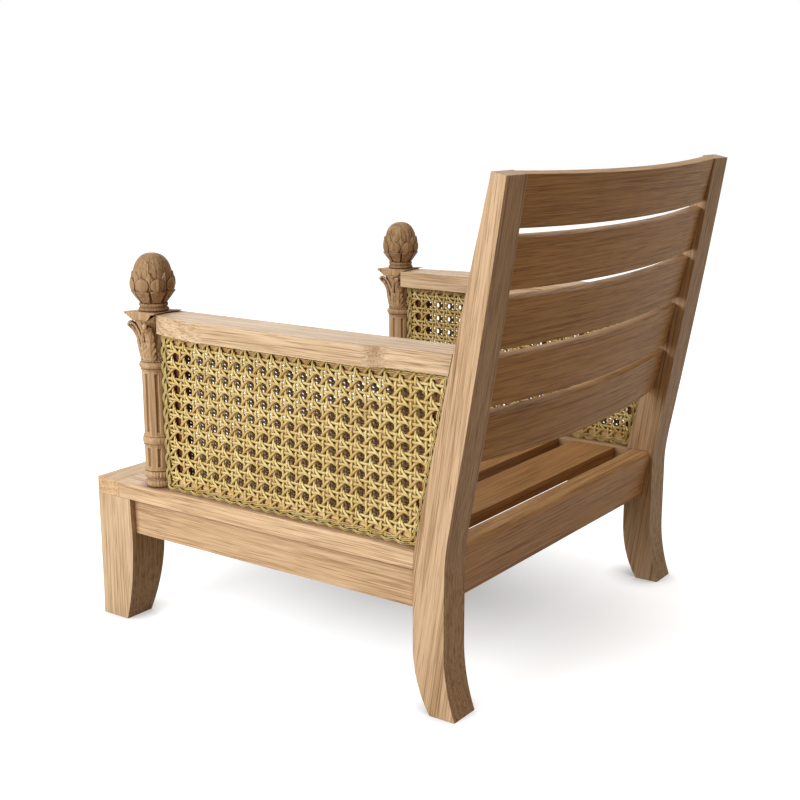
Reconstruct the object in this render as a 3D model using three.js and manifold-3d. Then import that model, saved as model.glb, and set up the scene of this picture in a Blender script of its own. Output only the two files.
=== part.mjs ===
// A low lounge armchair: slatted seat and reclined slatted back, caned side panels, and two turned and
// carved front columns with bud finials.
// Millimetres, +Z up. The chair faces -Y, and the sitter's left is +X. The origin is on the floor, below
// the middle of the chair. Every piece is a separate solid with its own tenons, tongues, grooves or spigots.
import * as THREE from "three";
import { mergeVertices } from "three/addons/utils/BufferGeometryUtils.js";
import Module from "manifold-3d";

// Fits
const gap = 0.3; // air left between two pieces that touch
const overrun = 3; // how far a cutter runs past the face that it opens
const weldDistance = 1e-4; // points nearer than this are one point
const boardCurveSteps = 8; // flats in each curve of a sawn board

// Whole chair
const halfWidth = 380; // to the outer faces of the legs
const depth = 815; // from the front of the deck to the rear of the back legs
const height = 797.5;
const deckTop = 252;

// Deck rails
const deckThick = 29;
const frontRailDepth = 51.3;
const sideRailWidth = 64;
const railTenonLength = 12;
const railTenonWide = 34;
const railTenonThick = 11;

// Aprons
const apronHigh = 62.5;
const apronThick = 26;
const apronRecess = 10; // behind the outer faces of the deck rails
const apronTenonLength = 22;
const apronTenonThick = 12;
const apronShoulder = 8;

// Front legs
const frontLegDeep = 77.5;
const frontLegBelly = 2; // how far the rear face swells before it curves in
const frontLegWide = 76;
const frontFootDeep = 58;
const frontFootWide = 57;
const frontLegCurveTop = 150;
const frontLegCurvePull = 72; // height of the curve's control point
const pegWide = 26; // the stub tenon on top of each front leg
const pegDeep = 20;
const pegHigh = 15;

// Back legs
const backLegThick = 55.5;
const backRake = 112.6; // how far the front of a back leg leans back from the knee to its top
const backLegDeep = 54.5;
const footRise = 110;
const toeKick = 30.3;
const toePull = 45;
const heelKick = 20;
const heelPull = 55;
const kneeLow = 224;
const kneeHigh = 293;
const kneePull = 26;
const kneeFrontShift = 10.2;
const kneeRearShift = 8;
const backTopDeep = 23.2;
const backTopDrop = 5;
const backFrontBow = 2.5;
const backRearBow = 4.5;

// Rear apron
const rearApronThick = 36.8;
const rearApronRound = 14;
const rearApronLean = 0.19; // how far it leans forward for each unit of drop
const rearApronRise = 5; // from the feet of the side aprons to its own
const rearApronBack = 13.9; // behind the front of the back legs, at deck height
const rearTenonLength = 17;

// Seat slats
const seatSlatCount = 5;
const seatSlot = 32; // open slot between two slats
const seatRearGap = 34; // from the last slat to the rear apron
const seatSlatThick = 20.5;
const seatTenonLength = 12;
const seatTenonThick = 8;
const seatShoulder = 14;

// Back slats
const backSlatCount = 5;
const backSlatSlot = 13.2; // open slot between two slats
const backSlatLift = 127; // from the deck to the foot of the lowest slat
const backSlatThick = 18;
const backSlatInset = 4; // behind the front faces of the back legs
const backSlatBow = 27;
const backSlatSteps = 12; // flats along the bow
const slatTenonLength = 17;
const slatTenonThick = 9;
const slatShoulder = 8;

// Arms
const armTop = 549;
const armThick = 31.5;
const armInset = 63; // from the outer face of a leg to the inner edge of the arm
const armWide = 80;
const armFrontNarrower = 24; // how much narrower the arm is at its front end
const armRearNarrower = 14;
const armFrontBack = 25; // from the column's axis to the front end of the arm
const armCornerLength = 126;
const armCornerPull = 56;
const armCornerShy = 5; // the curve's control point, inside the outer face
const armNarrowing = 149; // from the back leg to the start of the S curve
const armCurveLength = 42;
const armTenonLength = 24;
const armTenonWide = 18;
const armShoulder = 8;
const armPegWide = 14;
const armPegLength = 10;

// Columns, from the deck up
const columnInset = 27.5; // from the outer face of a leg to the column's axis
const columnBack = 127.5; // from the front of the deck to the column's axis
const columnSpigotRadius = 9;
const columnSpigotLength = 20;
const baseTorusHigh = 12;
const baseTorusRadius = 25.5;
const baseNeckHigh = 3.5;
const baseNeckRadius = 21.7;
const gadroonHigh = 14;
const gadroonRadius = 28.3;
const lowerShaftHigh = 45;
const lowerShaftRadius = 24.8;
const midRingHigh = 13.5;
const midRingRadius = 27.4;
const upperShaftHigh = 115;
const upperShaftRadius = 24.2;
const topRingHigh = 12.5;
const topRingRadius = 28.3;
const filletHigh = 2.5; // the small flat band on each side of a ring
const filletOut = 1.2;
const bellFootRadius = 21.5;
const bellWaistRadius = 23;
const bellLipRadius = 29;
const abacusTop = 551.5;
const abacusHigh = 14.5;
const abacusHalf = 34.5;
const abacusHollow = 5.5; // how far each side of the top plate is hollowed
const abacusFootRadius = 27;
const abacusEdge = 2.2;
const roundSides = 16;
const bandSteps = 2;

// Flutes
const fluteCount = 8;
const fluteRadius = 2.8;
const fluteDeep = 2.4;
const fluteSides = 6;
const upperFluteLength = 100;
const lowerFluteLength = 32.5;

// Carved leaves and scrolls of the capital
const faceLeafHigh = 35;
const faceLeafWide = 20;
const faceLeafOut = 8.5; // how far the tip stands out from the root
const cornerLeafHigh = 38;
const cornerLeafWide = 14;
const cornerLeafOut = 6;
const leafThick = 3.4;
const leafRootRadius = 21;
const scrollStart = 20; // above the top ring
const scrollReach = 38; // from the column's axis to the middle of the scroll
const scrollRadius = 4.2;
const scrollDrop = 4.6; // from the underside of the top plate to the middle of the scroll
const scrollThick = 3.4;
const scrollWide = 11;
const scrollTaper = 0.4; // share of the width lost at the inner end
const scrollEnd = -Math.PI * 0.6; // bearing at which the curl stops
const stemSteps = 4;
const curlSteps = 3;

// Finials
const finialTop = 647;
const finialSpigotRadius = 7;
const finialSpigotLength = 18;
const footRingHigh = 6;
const footRingRadius = 25.2;
const cupRingHigh = 5.6;
const cupRingRadius = 24;
const ringNeckHigh = 1.6;
const ringNeckRadius = 22.4;
const cupRadius = 20.4;
const cupHigh = 2.6;
const budRadius = 32.7;
const budWidest = 54; // above the foot of the finial
const budSteps = 4;
const petalCount = 8;
const outerPetalHigh = 38;
const outerPetalRadius = 37.2;
const outerPetalWide = 25;
const innerPetalHigh = 47;
const innerPetalRadius = 34.4;
const innerPetalWide = 19;
const petalThick = 2.2;

// Caned panels
const panelThick = 12;
const panelRailHigh = 20;
const panelFrontBack = 29.2; // from the column's axis to the front of the panel
const frontPostWide = 42;
const frontPostThick = 7;
const rearPostWide = 25;
const postTenon = 8;
const tongueWide = 5;
const tongueDeep = 5;
const caneThick = 3.4;
const canePitch = 27;
const caneOpening = 15.5;
const caneFirstRow = 39; // from the deck to the middle of the first full row of openings
const caneFirstColumn = 56.8; // from the column's axis to the first openings
const caneEdge = 4; // least web left round an opening at the back
const braidRadius = 4.9;
const braidSides = 8;
const braidStart = 31.8; // from the column's axis to the middle of the front edging
const braidBehind = 11; // from the back leg to the middle of the rear edging
const webBehind = 17.5; // from the back leg to the rear edge of the web
const webStart = 37.5; // from the column's axis to the front edge of the web

// Places worked out from the sizes
const recline = backRake / (height - kneeHigh);
const reclineAngle = Math.atan(recline);
const slatReach = (backSlatBow + backSlatInset + backSlatThick) * Math.cos(reclineAngle);
const frontY = -(depth - backTopDeep + slatReach) / 2; // the back slats stand out behind the legs
const rearY = frontY + depth;
const deckUnder = deckTop - deckThick;
const apronUnder = deckUnder - apronHigh;
const kneeFrontY = rearY - backTopDeep - backRake - kneeFrontShift;
const kneeRearY = kneeFrontY + backLegDeep;
const frontLegRearY = frontY + frontLegDeep;
const frontLegInnerX = halfWidth - frontLegWide;
const backInnerX = halfWidth - backLegThick;
const backTopFrontY = rearY - backTopDeep;
const railInnerX = halfWidth - sideRailWidth;
const frontRailRearY = frontY + frontRailDepth;
const apronOuterX = halfWidth - apronRecess;
const apronInnerX = apronOuterX - apronThick;
const rearApronY = kneeFrontY + rearApronBack;
const rearApronUnder = apronUnder + rearApronRise;
const columnX = halfWidth - columnInset;
const columnY = frontY + columnBack;
const armInner = halfWidth - armInset;
const armOuter = armInner + armWide;
const armFrontOuter = armOuter - armFrontNarrower;
const armRearOuter = armOuter - armRearNarrower;
const armUnder = armTop - armThick;
const armFrontY = columnY + armFrontBack;
const panelFrontY = columnY + panelFrontBack;
const abacusUnder = abacusTop - abacusHigh;

// The front face of a back leg above the knee, at height z.
const backFrontAt = (z) => kneeFrontY + kneeFrontShift + (z - kneeHigh) * recline;

const wasm = await Module();
wasm.setup();

// Materials
const teak = new THREE.MeshStandardMaterial({ color: "#c9a174", roughness: 0.62, metalness: 0 });
const cane = new THREE.MeshStandardMaterial({ color: "#d9c583", roughness: 0.5, metalness: 0 });

// Solids

// A closed geometry as a solid that can be joined and cut.
function solidOf(geometry) {
  const bare = geometry.clone();
  bare.deleteAttribute("normal");
  bare.deleteAttribute("uv");
  const merged = mergeVertices(bare, weldDistance);
  return new wasm.Manifold(
    new wasm.Mesh({
      numProp: 3,
      vertProperties: new Float32Array(merged.attributes.position.array),
      triVerts: new Uint32Array(merged.index.array),
    }),
  );
}

// A solid as a geometry with flat faces.
function geometryOf(solid) {
  const mesh = solid.getMesh();
  const geometry = new THREE.BufferGeometry();
  geometry.setAttribute("position", new THREE.BufferAttribute(new Float32Array(mesh.vertProperties), 3));
  geometry.setIndex(new THREE.BufferAttribute(new Uint32Array(mesh.triVerts), 1));
  const faceted = geometry.toNonIndexed();
  faceted.computeVertexNormals();
  return faceted;
}

const cut = (solid, ...cutters) => cutters.reduce((left, cutter) => left.subtract(cutter), solid);
const join = (solid, ...others) => others.reduce((whole, other) => whole.add(other), solid);

// The largest body of a solid. A cut can leave loose crumbs of carving, which are dropped.
function largest(solid) {
  return solid.decompose().reduce((best, body) => (body.volume() > best.volume() ? body : best));
}

// An upright or lying block between two corners.
function block(x0, x1, y0, y1, z0, z1) {
  const box = new THREE.BoxGeometry(x1 - x0, y1 - y0, z1 - z0);
  box.translate((x0 + x1) / 2, (y0 + y1) / 2, (z0 + z1) / 2);
  return solidOf(box);
}

function extruded(outline, depth) {
  const settings = { depth, bevelEnabled: false, curveSegments: boardCurveSteps };
  return new THREE.ExtrudeGeometry(outline, settings);
}

// An outline drawn in side view, as (y, z), that runs from x0 to x1.
function sideBoard(outline, x0, x1) {
  const board = extruded(outline, x1 - x0);
  const turn = new THREE.Matrix4().set(0, 0, 1, x0, 1, 0, 0, 0, 0, 1, 0, 0, 0, 0, 0, 1);
  return solidOf(board.applyMatrix4(turn));
}

// An outline drawn in front view, as (x, z), that runs from y0 to y1.
function frontBoard(outline, y0, y1) {
  const board = extruded(outline, y1 - y0);
  const turn = new THREE.Matrix4().set(1, 0, 0, 0, 0, 0, -1, y1, 0, 1, 0, 0, 0, 0, 0, 1);
  return solidOf(board.applyMatrix4(turn));
}

// An outline drawn in plan, as (x, y), that runs from z0 to z1.
function planBoard(outline, z0, z1) {
  const board = extruded(outline, z1 - z0);
  return solidOf(board.translate(0, 0, z0));
}

// A closed solid through rings of points. Each ring turns anticlockwise seen from the last ring.
function loft(rings) {
  const count = rings[0].length;
  const points = rings.flat();
  const middle = (ring) => ring.reduce((sum, p) => sum.add(p), new THREE.Vector3()).divideScalar(count);
  points.push(middle(rings[0]), middle(rings.at(-1)));
  const foot = points.length - 2;
  const head = points.length - 1;
  const lastRing = (rings.length - 1) * count;
  const index = [];
  for (let j = 0; j < count; j += 1) {
    const next = (j + 1) % count;
    index.push(foot, next, j, head, lastRing + j, lastRing + next);
    for (let start = 0; start < lastRing; start += count) {
      const [a, b] = [start + j, start + next];
      index.push(a, b, b + count, a, b + count, a + count);
    }
  }
  const geometry = new THREE.BufferGeometry().setFromPoints(points);
  geometry.setIndex(index);
  return solidOf(geometry);
}

// A closed solid through rings of points, with the last ring joined to the first.
function endless(rings) {
  const count = rings[0].length;
  const index = [];
  rings.forEach((_, i) => {
    const [here, there] = [i * count, ((i + 1) % rings.length) * count];
    for (let j = 0; j < count; j += 1) {
      const next = (j + 1) % count;
      index.push(here + j, here + next, there + next, here + j, there + next, there + j);
    }
  });
  const geometry = new THREE.BufferGeometry().setFromPoints(rings.flat());
  geometry.setIndex(index);
  return solidOf(geometry);
}

// A profile of (radius, height) points, from axis to axis, turned round the Z axis.
function turned(profile, sides = roundSides) {
  return solidOf(new THREE.LatheGeometry(profile, sides).rotateX(Math.PI / 2));
}

// A round bar along Z with its middle line at (x, y).
function peg(x, y, radius, z0, z1, sides = roundSides) {
  const bar = new THREE.CylinderGeometry(radius, radius, z1 - z0, sides).rotateX(Math.PI / 2);
  return solidOf(bar.translate(x, y, (z0 + z1) / 2));
}

// Front legs

function frontLegSide(shift) {
  const outline = new THREE.Shape();
  const belly = frontLegRearY + frontLegBelly + shift;
  outline.moveTo(frontY + shift, 0);
  outline.lineTo(frontY + frontFootDeep + shift, 0);
  outline.quadraticCurveTo(belly, frontLegCurvePull, belly, frontLegCurveTop);
  outline.lineTo(frontLegRearY + shift, deckUnder - gap);
  outline.lineTo(frontY + shift, deckUnder - gap);
  return outline;
}

function frontLegFront() {
  const outline = new THREE.Shape();
  outline.moveTo(halfWidth, 0);
  outline.lineTo(halfWidth, deckUnder - gap);
  outline.lineTo(frontLegInnerX, deckUnder - gap);
  outline.lineTo(frontLegInnerX, frontLegCurveTop);
  outline.quadraticCurveTo(frontLegInnerX, frontLegCurvePull, halfWidth - frontFootWide, 0);
  return outline;
}

// The stub tenon on the leg, or with room round it, its mortise in the front deck rail.
function legPeg(room) {
  const x = frontLegInnerX + frontLegWide / 2;
  const y = frontY + frontRailDepth / 2 - railTenonLength / 2;
  const top = deckUnder + pegHigh + room;
  return block(
    x - pegWide / 2 - room,
    x + pegWide / 2 + room,
    y - pegDeep / 2 - room,
    y + pegDeep / 2 + room,
    deckUnder - overrun,
    top,
  );
}

function frontLeg() {
  const side = sideBoard(frontLegSide(0), frontLegInnerX - overrun, halfWidth + overrun);
  const front = frontBoard(frontLegFront(), frontY - overrun, frontLegRearY + frontLegBelly + overrun);
  return cut(join(side.intersect(front), legPeg(0)), sideApronTenon(gap), frontApronTenon(gap));
}

// Back legs

// Draws the front face of a back leg from its top down to the toe, moved back by shift.
function traceFront(outline, shift) {
  const front = kneeFrontY + shift;
  const middle = (front + kneeFrontShift + backTopFrontY + shift) / 2;
  outline.quadraticCurveTo(
    middle - backFrontBow,
    (kneeHigh + height) / 2,
    front + kneeFrontShift,
    kneeHigh,
  );
  outline.quadraticCurveTo(front, kneeLow + kneePull, front, kneeLow);
  outline.lineTo(front, footRise);
  outline.quadraticCurveTo(front, toePull, front + toeKick, 0);
}

function backLegSide() {
  const outline = new THREE.Shape();
  const topRear = height - backTopDrop;
  outline.moveTo(kneeFrontY + toeKick, 0);
  outline.lineTo(kneeRearY + heelKick, 0);
  outline.quadraticCurveTo(kneeRearY, heelPull, kneeRearY, footRise);
  outline.lineTo(kneeRearY, kneeLow);
  outline.quadraticCurveTo(kneeRearY, kneeLow + kneePull, kneeRearY + kneeRearShift, kneeHigh);
  outline.quadraticCurveTo(
    (kneeRearY + kneeRearShift + rearY) / 2 + backRearBow,
    (kneeHigh + topRear) / 2,
    rearY,
    topRear,
  );
  outline.lineTo(backTopFrontY, height);
  traceFront(outline, 0);
  return outline;
}

// Everything behind the front faces of the back legs, moved back by shift, between x0 and x1.
function behindLegs(shift, x0, x1) {
  const outline = new THREE.Shape();
  outline.moveTo(kneeRearY + depth, 0);
  outline.lineTo(kneeRearY + depth, height);
  outline.lineTo(backTopFrontY + shift, height);
  traceFront(outline, shift);
  return sideBoard(outline, x0, x1);
}

function backLeg() {
  const body = sideBoard(backLegSide(), backInnerX, halfWidth);
  const slatMortises = Array.from({ length: backSlatCount }, (_, i) => backSlatTenon(i, gap));
  return cut(body, sideApronTenon(gap), rearApronTenon(gap), armTenon(gap), ...slatMortises);
}

// Aprons

const tenonInset = (apronThick - apronTenonThick) / 2;

// The tenons at both ends of a side apron, as one bar through it, or with room round it, their mortises.
function sideApronTenon(room) {
  return block(
    apronInnerX + tenonInset - room,
    apronOuterX - tenonInset + room,
    frontLegRearY - apronTenonLength - room,
    kneeFrontY + apronTenonLength + room,
    apronUnder + apronShoulder - room,
    deckUnder - apronShoulder + room,
  );
}

function sideApron() {
  const body = block(
    apronInnerX,
    apronOuterX,
    frontLegRearY - overrun,
    kneeFrontY + overrun,
    apronUnder,
    deckUnder - gap,
  );
  const frontCutter = sideBoard(frontLegSide(gap), apronInnerX - overrun, apronOuterX + overrun);
  return join(
    cut(body, frontCutter, behindLegs(-gap, apronInnerX - overrun, apronOuterX + overrun)),
    sideApronTenon(0),
  );
}

function frontApronTenon(room) {
  const reach = frontLegInnerX + apronTenonLength + room;
  return block(
    -reach,
    reach,
    frontY + apronRecess + tenonInset - room,
    frontY + apronRecess + apronThick - tenonInset + room,
    apronUnder + apronShoulder - room,
    deckUnder - apronShoulder + room,
  );
}

const frontApronRearY = frontY + apronRecess + apronThick;

function frontApron() {
  const reach = frontLegInnerX - gap;
  const body = block(-reach, reach, frontY + apronRecess, frontApronRearY, apronUnder, deckUnder - gap);
  return join(body, frontApronTenon(0));
}

// The rear apron leans nearly as far as the back. Its top rear edge is rounded.
function rearApronSide(shift) {
  const outline = new THREE.Shape();
  const front = rearApronY + shift;
  const rear = front + rearApronThick;
  const lean = (deckTop - rearApronUnder) * rearApronLean;
  outline.moveTo(front, deckTop);
  outline.lineTo(front - lean, rearApronUnder);
  outline.lineTo(rear - lean, rearApronUnder);
  outline.lineTo(rear - rearApronRound * rearApronLean, deckTop - rearApronRound);
  outline.quadraticCurveTo(rear, deckTop, rear - rearApronRound, deckTop);
  return outline;
}

function rearApronTenon(room) {
  const inset = (rearApronThick - apronTenonThick) / 2;
  const low = rearApronUnder + apronShoulder - room;
  const high = deckTop - rearApronRound - apronShoulder + room;
  const lowShift = (deckTop - low) * rearApronLean;
  const highShift = (deckTop - high) * rearApronLean;
  const front = rearApronY + inset - room;
  const rear = rearApronY + rearApronThick - inset + room;
  const outline = new THREE.Shape();
  outline.moveTo(front - lowShift, low);
  outline.lineTo(rear - lowShift, low);
  outline.lineTo(rear - highShift, high);
  outline.lineTo(front - highShift, high);
  const reach = backInnerX + rearTenonLength + room;
  return sideBoard(outline, -reach, reach);
}

function rearApron() {
  const reach = backInnerX - gap;
  return join(sideBoard(rearApronSide(0), -reach, reach), rearApronTenon(0));
}

const rearApronCutter = (x0, x1) => sideBoard(rearApronSide(-gap), x0, x1);

// Deck rails

// The tenon at the front of a side deck rail, or with room round it, its mortise in the front deck rail.
function railTenon(room) {
  const x = (railInnerX + halfWidth) / 2;
  const z = deckTop - deckThick / 2;
  return block(
    x - railTenonWide / 2 - room,
    x + railTenonWide / 2 + room,
    frontRailRearY - railTenonLength - room,
    frontRailRearY + overrun,
    z - railTenonThick / 2 - room,
    z + railTenonThick / 2 + room,
  );
}

function frontDeckRail() {
  const body = block(-halfWidth, halfWidth, frontY, frontRailRearY, deckUnder, deckTop);
  const left = [legPeg(gap), railTenon(gap)];
  const right = left.map((cutter) => cutter.mirror([1, 0, 0]));
  return cut(body, ...left, ...right);
}

function sideDeckRail() {
  const body = block(railInnerX, halfWidth, frontRailRearY + gap, rearApronY, deckUnder, deckTop);
  const slatMortises = Array.from({ length: seatSlatCount }, (_, i) => seatSlatTenon(i, gap));
  return cut(
    join(body, railTenon(0)),
    behindLegs(-gap, backInnerX - gap, halfWidth + overrun),
    rearApronCutter(railInnerX - overrun, halfWidth),
    peg(columnX, columnY, columnSpigotRadius + gap, deckTop - columnSpigotLength - gap, deckTop + overrun),
    panelTongue(deckTop - tongueDeep - gap, deckTop + overrun, gap),
    ...slatMortises,
  );
}

// Seat slats

const seatRun = rearApronY - frontRailRearY;
const seatSlatWide = (seatRun - seatRearGap) / seatSlatCount - seatSlot;
const seatSlatY = (i) => frontRailRearY + seatSlot + i * (seatSlatWide + seatSlot);

function seatSlatTenon(i, room) {
  const reach = railInnerX + seatTenonLength + room;
  const z = deckTop - seatSlatThick / 2;
  return block(
    -reach,
    reach,
    seatSlatY(i) + seatShoulder - room,
    seatSlatY(i) + seatSlatWide - seatShoulder + room,
    z - seatTenonThick / 2 - room,
    z + seatTenonThick / 2 + room,
  );
}

function seatSlat(i) {
  const reach = railInnerX - gap;
  const y = seatSlatY(i);
  return join(
    block(-reach, reach, y, y + seatSlatWide, deckTop - seatSlatThick, deckTop),
    seatSlatTenon(i, 0),
  );
}

// Back slats, bowed backwards

const slatArcRadius = (backInnerX ** 2 + backSlatBow ** 2) / (2 * backSlatBow);
const slatRun = (height - deckTop - backSlatLift) / Math.cos(reclineAngle);
const backSlatHigh = (slatRun - (backSlatCount - 1) * backSlatSlot) / backSlatCount;
const backSlatPitch = backSlatHigh + backSlatSlot;

// A curved band in plan, as wide as reach on each side, between two distances behind the legs' fronts.
function slatBand(reach, front, rear) {
  const centre = backSlatBow - slatArcRadius;
  const arc = (inset) =>
    Array.from({ length: backSlatSteps + 1 }, (_, i) => {
      const x = reach * ((2 * i) / backSlatSteps - 1);
      return new THREE.Vector2(x, centre + inset + Math.sqrt(slatArcRadius ** 2 - x ** 2));
    });
  return new THREE.Shape([...arc(front), ...arc(rear).reverse()]);
}

// Stands a band of the back up between two distances below the top, leaning with the back.
function lean(outline, top, bottom) {
  const depthOfBand = bottom - top;
  const band = new THREE.ExtrudeGeometry(outline, { depth: depthOfBand, bevelEnabled: false });
  band.translate(0, 0, -bottom);
  band.rotateX(-reclineAngle);
  return solidOf(band.translate(0, backTopFrontY, height));
}

function backSlatTenon(i, room) {
  const inset = backSlatInset + (backSlatThick - slatTenonThick) / 2;
  const outline = slatBand(backInnerX + slatTenonLength + room, inset - room, inset + slatTenonThick + room);
  const top = i * backSlatPitch + slatShoulder - room;
  return lean(outline, top, i * backSlatPitch + backSlatHigh - slatShoulder + room);
}

function backSlat(i) {
  const outline = slatBand(backInnerX - gap, backSlatInset, backSlatInset + backSlatThick);
  const top = i * backSlatPitch;
  return join(lean(outline, top, top + backSlatHigh), backSlatTenon(i, 0));
}

// Arms

// The plan of an arm, with every side moved out by room.
function armPlan(room) {
  const outline = new THREE.Shape();
  const rear = backFrontAt(armTop) + armThick;
  const narrow = backFrontAt(armTop) - armNarrowing;
  const narrowed = narrow + armCurveLength;
  const curveMiddle = (narrow + narrowed) / 2;
  outline.moveTo(armInner - room, armFrontY - room);
  outline.lineTo(armFrontOuter + room, armFrontY - room);
  outline.quadraticCurveTo(
    armOuter - armCornerShy + room,
    armFrontY + armCornerPull,
    armOuter + room,
    armFrontY + armCornerLength,
  );
  outline.lineTo(armOuter + room, narrow);
  outline.bezierCurveTo(
    armOuter + room,
    curveMiddle,
    armRearOuter + room,
    curveMiddle,
    armRearOuter + room,
    narrowed,
  );
  outline.lineTo(halfWidth + room, rear);
  outline.lineTo(armInner - room, rear);
  return outline;
}

function armTenon(room) {
  const x = columnX + armTenonWide / 2;
  return block(
    x - armTenonWide / 2 - room,
    x + armTenonWide / 2 + room,
    backFrontAt(armUnder) - overrun,
    backFrontAt(armUnder + armThick / 2) + armTenonLength + room,
    armUnder + armShoulder - room,
    armTop - armShoulder + room,
  );
}

// The stub at the front of an arm, or with room round it, its mortise in the column.
function armPeg(room) {
  return block(
    columnX - armPegWide / 2 - room,
    columnX + armPegWide / 2 + room,
    armFrontY - armPegLength - room,
    armFrontY + overrun,
    armUnder + armShoulder - room,
    abacusUnder - filletHigh + room,
  );
}

function arm() {
  const body = planBoard(armPlan(0), armUnder, armTop);
  return cut(
    join(cut(body, behindLegs(-gap, armInner - overrun, armOuter + overrun)), armTenon(0), armPeg(0)),
    panelTongue(armUnder - overrun, armUnder + tongueDeep + gap, gap),
  );
}

// Columns

const bead = (path, foot, high, inner, outer) =>
  path.absellipse(inner, foot + high / 2, outer - inner, high / 2, -Math.PI / 2, Math.PI / 2, false);

// The turned profile, as (radius, height above the deck), from axis to axis.
function columnProfile() {
  const base = gap;
  const neck = base + baseTorusHigh;
  const gadroon = neck + baseNeckHigh;
  const lowerShaft = gadroon + gadroonHigh;
  const midRing = lowerShaft + lowerShaftHigh;
  const upperShaft = midRing + midRingHigh;
  const topRing = upperShaft + upperShaftHigh;
  const bell = topRing + topRingHigh;
  const lip = abacusUnder - deckTop;
  const path = new THREE.Path();
  path.moveTo(0, -columnSpigotLength);
  path.lineTo(columnSpigotRadius, -columnSpigotLength);
  path.lineTo(columnSpigotRadius, base);
  path.lineTo(baseNeckRadius, base);
  bead(path, base, baseTorusHigh, baseNeckRadius, baseTorusRadius);
  path.lineTo(baseNeckRadius, gadroon);
  bead(path, gadroon, gadroonHigh, baseNeckRadius, gadroonRadius);
  path.lineTo(lowerShaftRadius + filletOut, lowerShaft);
  path.lineTo(lowerShaftRadius + filletOut, lowerShaft + filletHigh);
  path.lineTo(lowerShaftRadius, lowerShaft + filletHigh);
  path.lineTo(lowerShaftRadius, midRing - filletHigh);
  path.lineTo(lowerShaftRadius + filletOut, midRing - filletHigh);
  path.lineTo(lowerShaftRadius, midRing);
  bead(path, midRing, midRingHigh, upperShaftRadius, midRingRadius);
  path.lineTo(upperShaftRadius, topRing - filletHigh);
  path.lineTo(upperShaftRadius + filletOut, topRing - filletHigh);
  path.lineTo(upperShaftRadius + filletOut, topRing);
  bead(path, topRing, topRingHigh, bellFootRadius, topRingRadius);
  path.lineTo(bellFootRadius, bell + filletHigh);
  path.quadraticCurveTo(bellWaistRadius, (bell + lip) / 2, bellLipRadius, lip);
  path.lineTo(0, lip + abacusHigh / 2);
  return { points: path.getPoints(bandSteps), lowerShaft, midRing, upperShaft, topRing, bell };
}

// The top plate: round below, with four hollowed sides and thin corners above.
function abacus() {
  const angles = Array.from({ length: roundSides }, (_, j) => (2 * Math.PI * j) / roundSides);
  const ring = (z, radiusAt) =>
    angles.map((angle) => {
      const radius = radiusAt(angle);
      return new THREE.Vector3(radius * Math.cos(angle), radius * Math.sin(angle), z);
    });
  const hollowed = (angle) => {
    const fromSide = angle - (Math.PI / 2) * Math.round(angle / (Math.PI / 2));
    return (abacusHalf - abacusHollow * Math.cos(2 * fromSide)) / Math.cos(fromSide);
  };
  const top = abacusTop - deckTop;
  return loft([
    ring(top - abacusHigh, () => abacusFootRadius),
    ring(top - abacusEdge, hollowed),
    ring(top, hollowed),
  ]);
}

// A leaf or stem along a path of (radius, height) points, with a raised middle rib.
function rib(path, widths, thickness, angle) {
  const out = new THREE.Vector3(Math.cos(angle), Math.sin(angle), 0);
  const across = new THREE.Vector3(-Math.sin(angle), Math.cos(angle), 0);
  const up = new THREE.Vector3(0, 0, 1);
  const rings = path.map((point, i) => {
    const before = path[Math.max(i - 1, 0)];
    const after = path[Math.min(i + 1, path.length - 1)];
    const run = after.clone().sub(before).normalize();
    const middle = out.clone().multiplyScalar(point.x).addScaledVector(up, point.y);
    const normal = out.clone().multiplyScalar(run.y).addScaledVector(up, -run.x);
    const half = widths[i] / 2;
    return [
      middle.clone().addScaledVector(normal, thickness / 2),
      middle.clone().addScaledVector(across, half),
      middle.clone().addScaledVector(normal, -thickness / 2),
      middle.clone().addScaledVector(across, -half),
    ];
  });
  return loft(rings);
}

// Widths and stand-off along a leaf, from root to tip, as shares of its width and reach.
const leafWidthShares = [0.62, 0.94, 1, 0.76, 0.36];
const leafOutShares = [0, 0.1, 0.3, 0.75, 1];
const leafRiseShares = [0, 0.36, 0.72, 1, 0.94];

function leaf(angle, foot, high, wide, out) {
  const path = leafRiseShares.map(
    (rise, i) => new THREE.Vector2(leafRootRadius + out * leafOutShares[i], foot + high * rise),
  );
  return rib(path, leafWidthShares.map((share) => wide * share), leafThick, angle);
}

// A stem that climbs outward under a corner of the top plate and ends in a scroll.
function scroll(angle, foot) {
  const centre = new THREE.Vector2(scrollReach, abacusUnder - deckTop - scrollDrop);
  const path = new THREE.CurvePath();
  const start = new THREE.Vector2(leafRootRadius, foot + scrollStart);
  const crown = new THREE.Vector2(centre.x, centre.y + scrollRadius);
  const pull = new THREE.Vector2(leafRootRadius + scrollRadius, crown.y);
  path.add(new THREE.QuadraticBezierCurve(start, pull, crown));
  const quarter = Math.PI / 2;
  path.add(new THREE.EllipseCurve(centre.x, centre.y, scrollRadius, scrollRadius, quarter, scrollEnd, true));
  const stem = path.curves[0].getPoints(stemSteps);
  const curl = path.curves[1].getPoints(curlSteps).slice(1);
  const points = [...stem, ...curl];
  const widths = points.map((_, i) => scrollWide * (1 - (scrollTaper * i) / (points.length - 1)));
  return rib(points, widths, scrollThick, angle);
}

// Vertical grooves with square ends, evenly round a shaft.
function flutes(radius, foot, length) {
  return Array.from({ length: fluteCount }, (_, i) => {
    const angle = (2 * Math.PI * i) / fluteCount;
    const reach = radius - fluteDeep + fluteRadius;
    const [x, y] = [reach * Math.cos(angle), reach * Math.sin(angle)];
    return peg(x, y, fluteRadius, foot, foot + length, fluteSides);
  });
}

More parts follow.
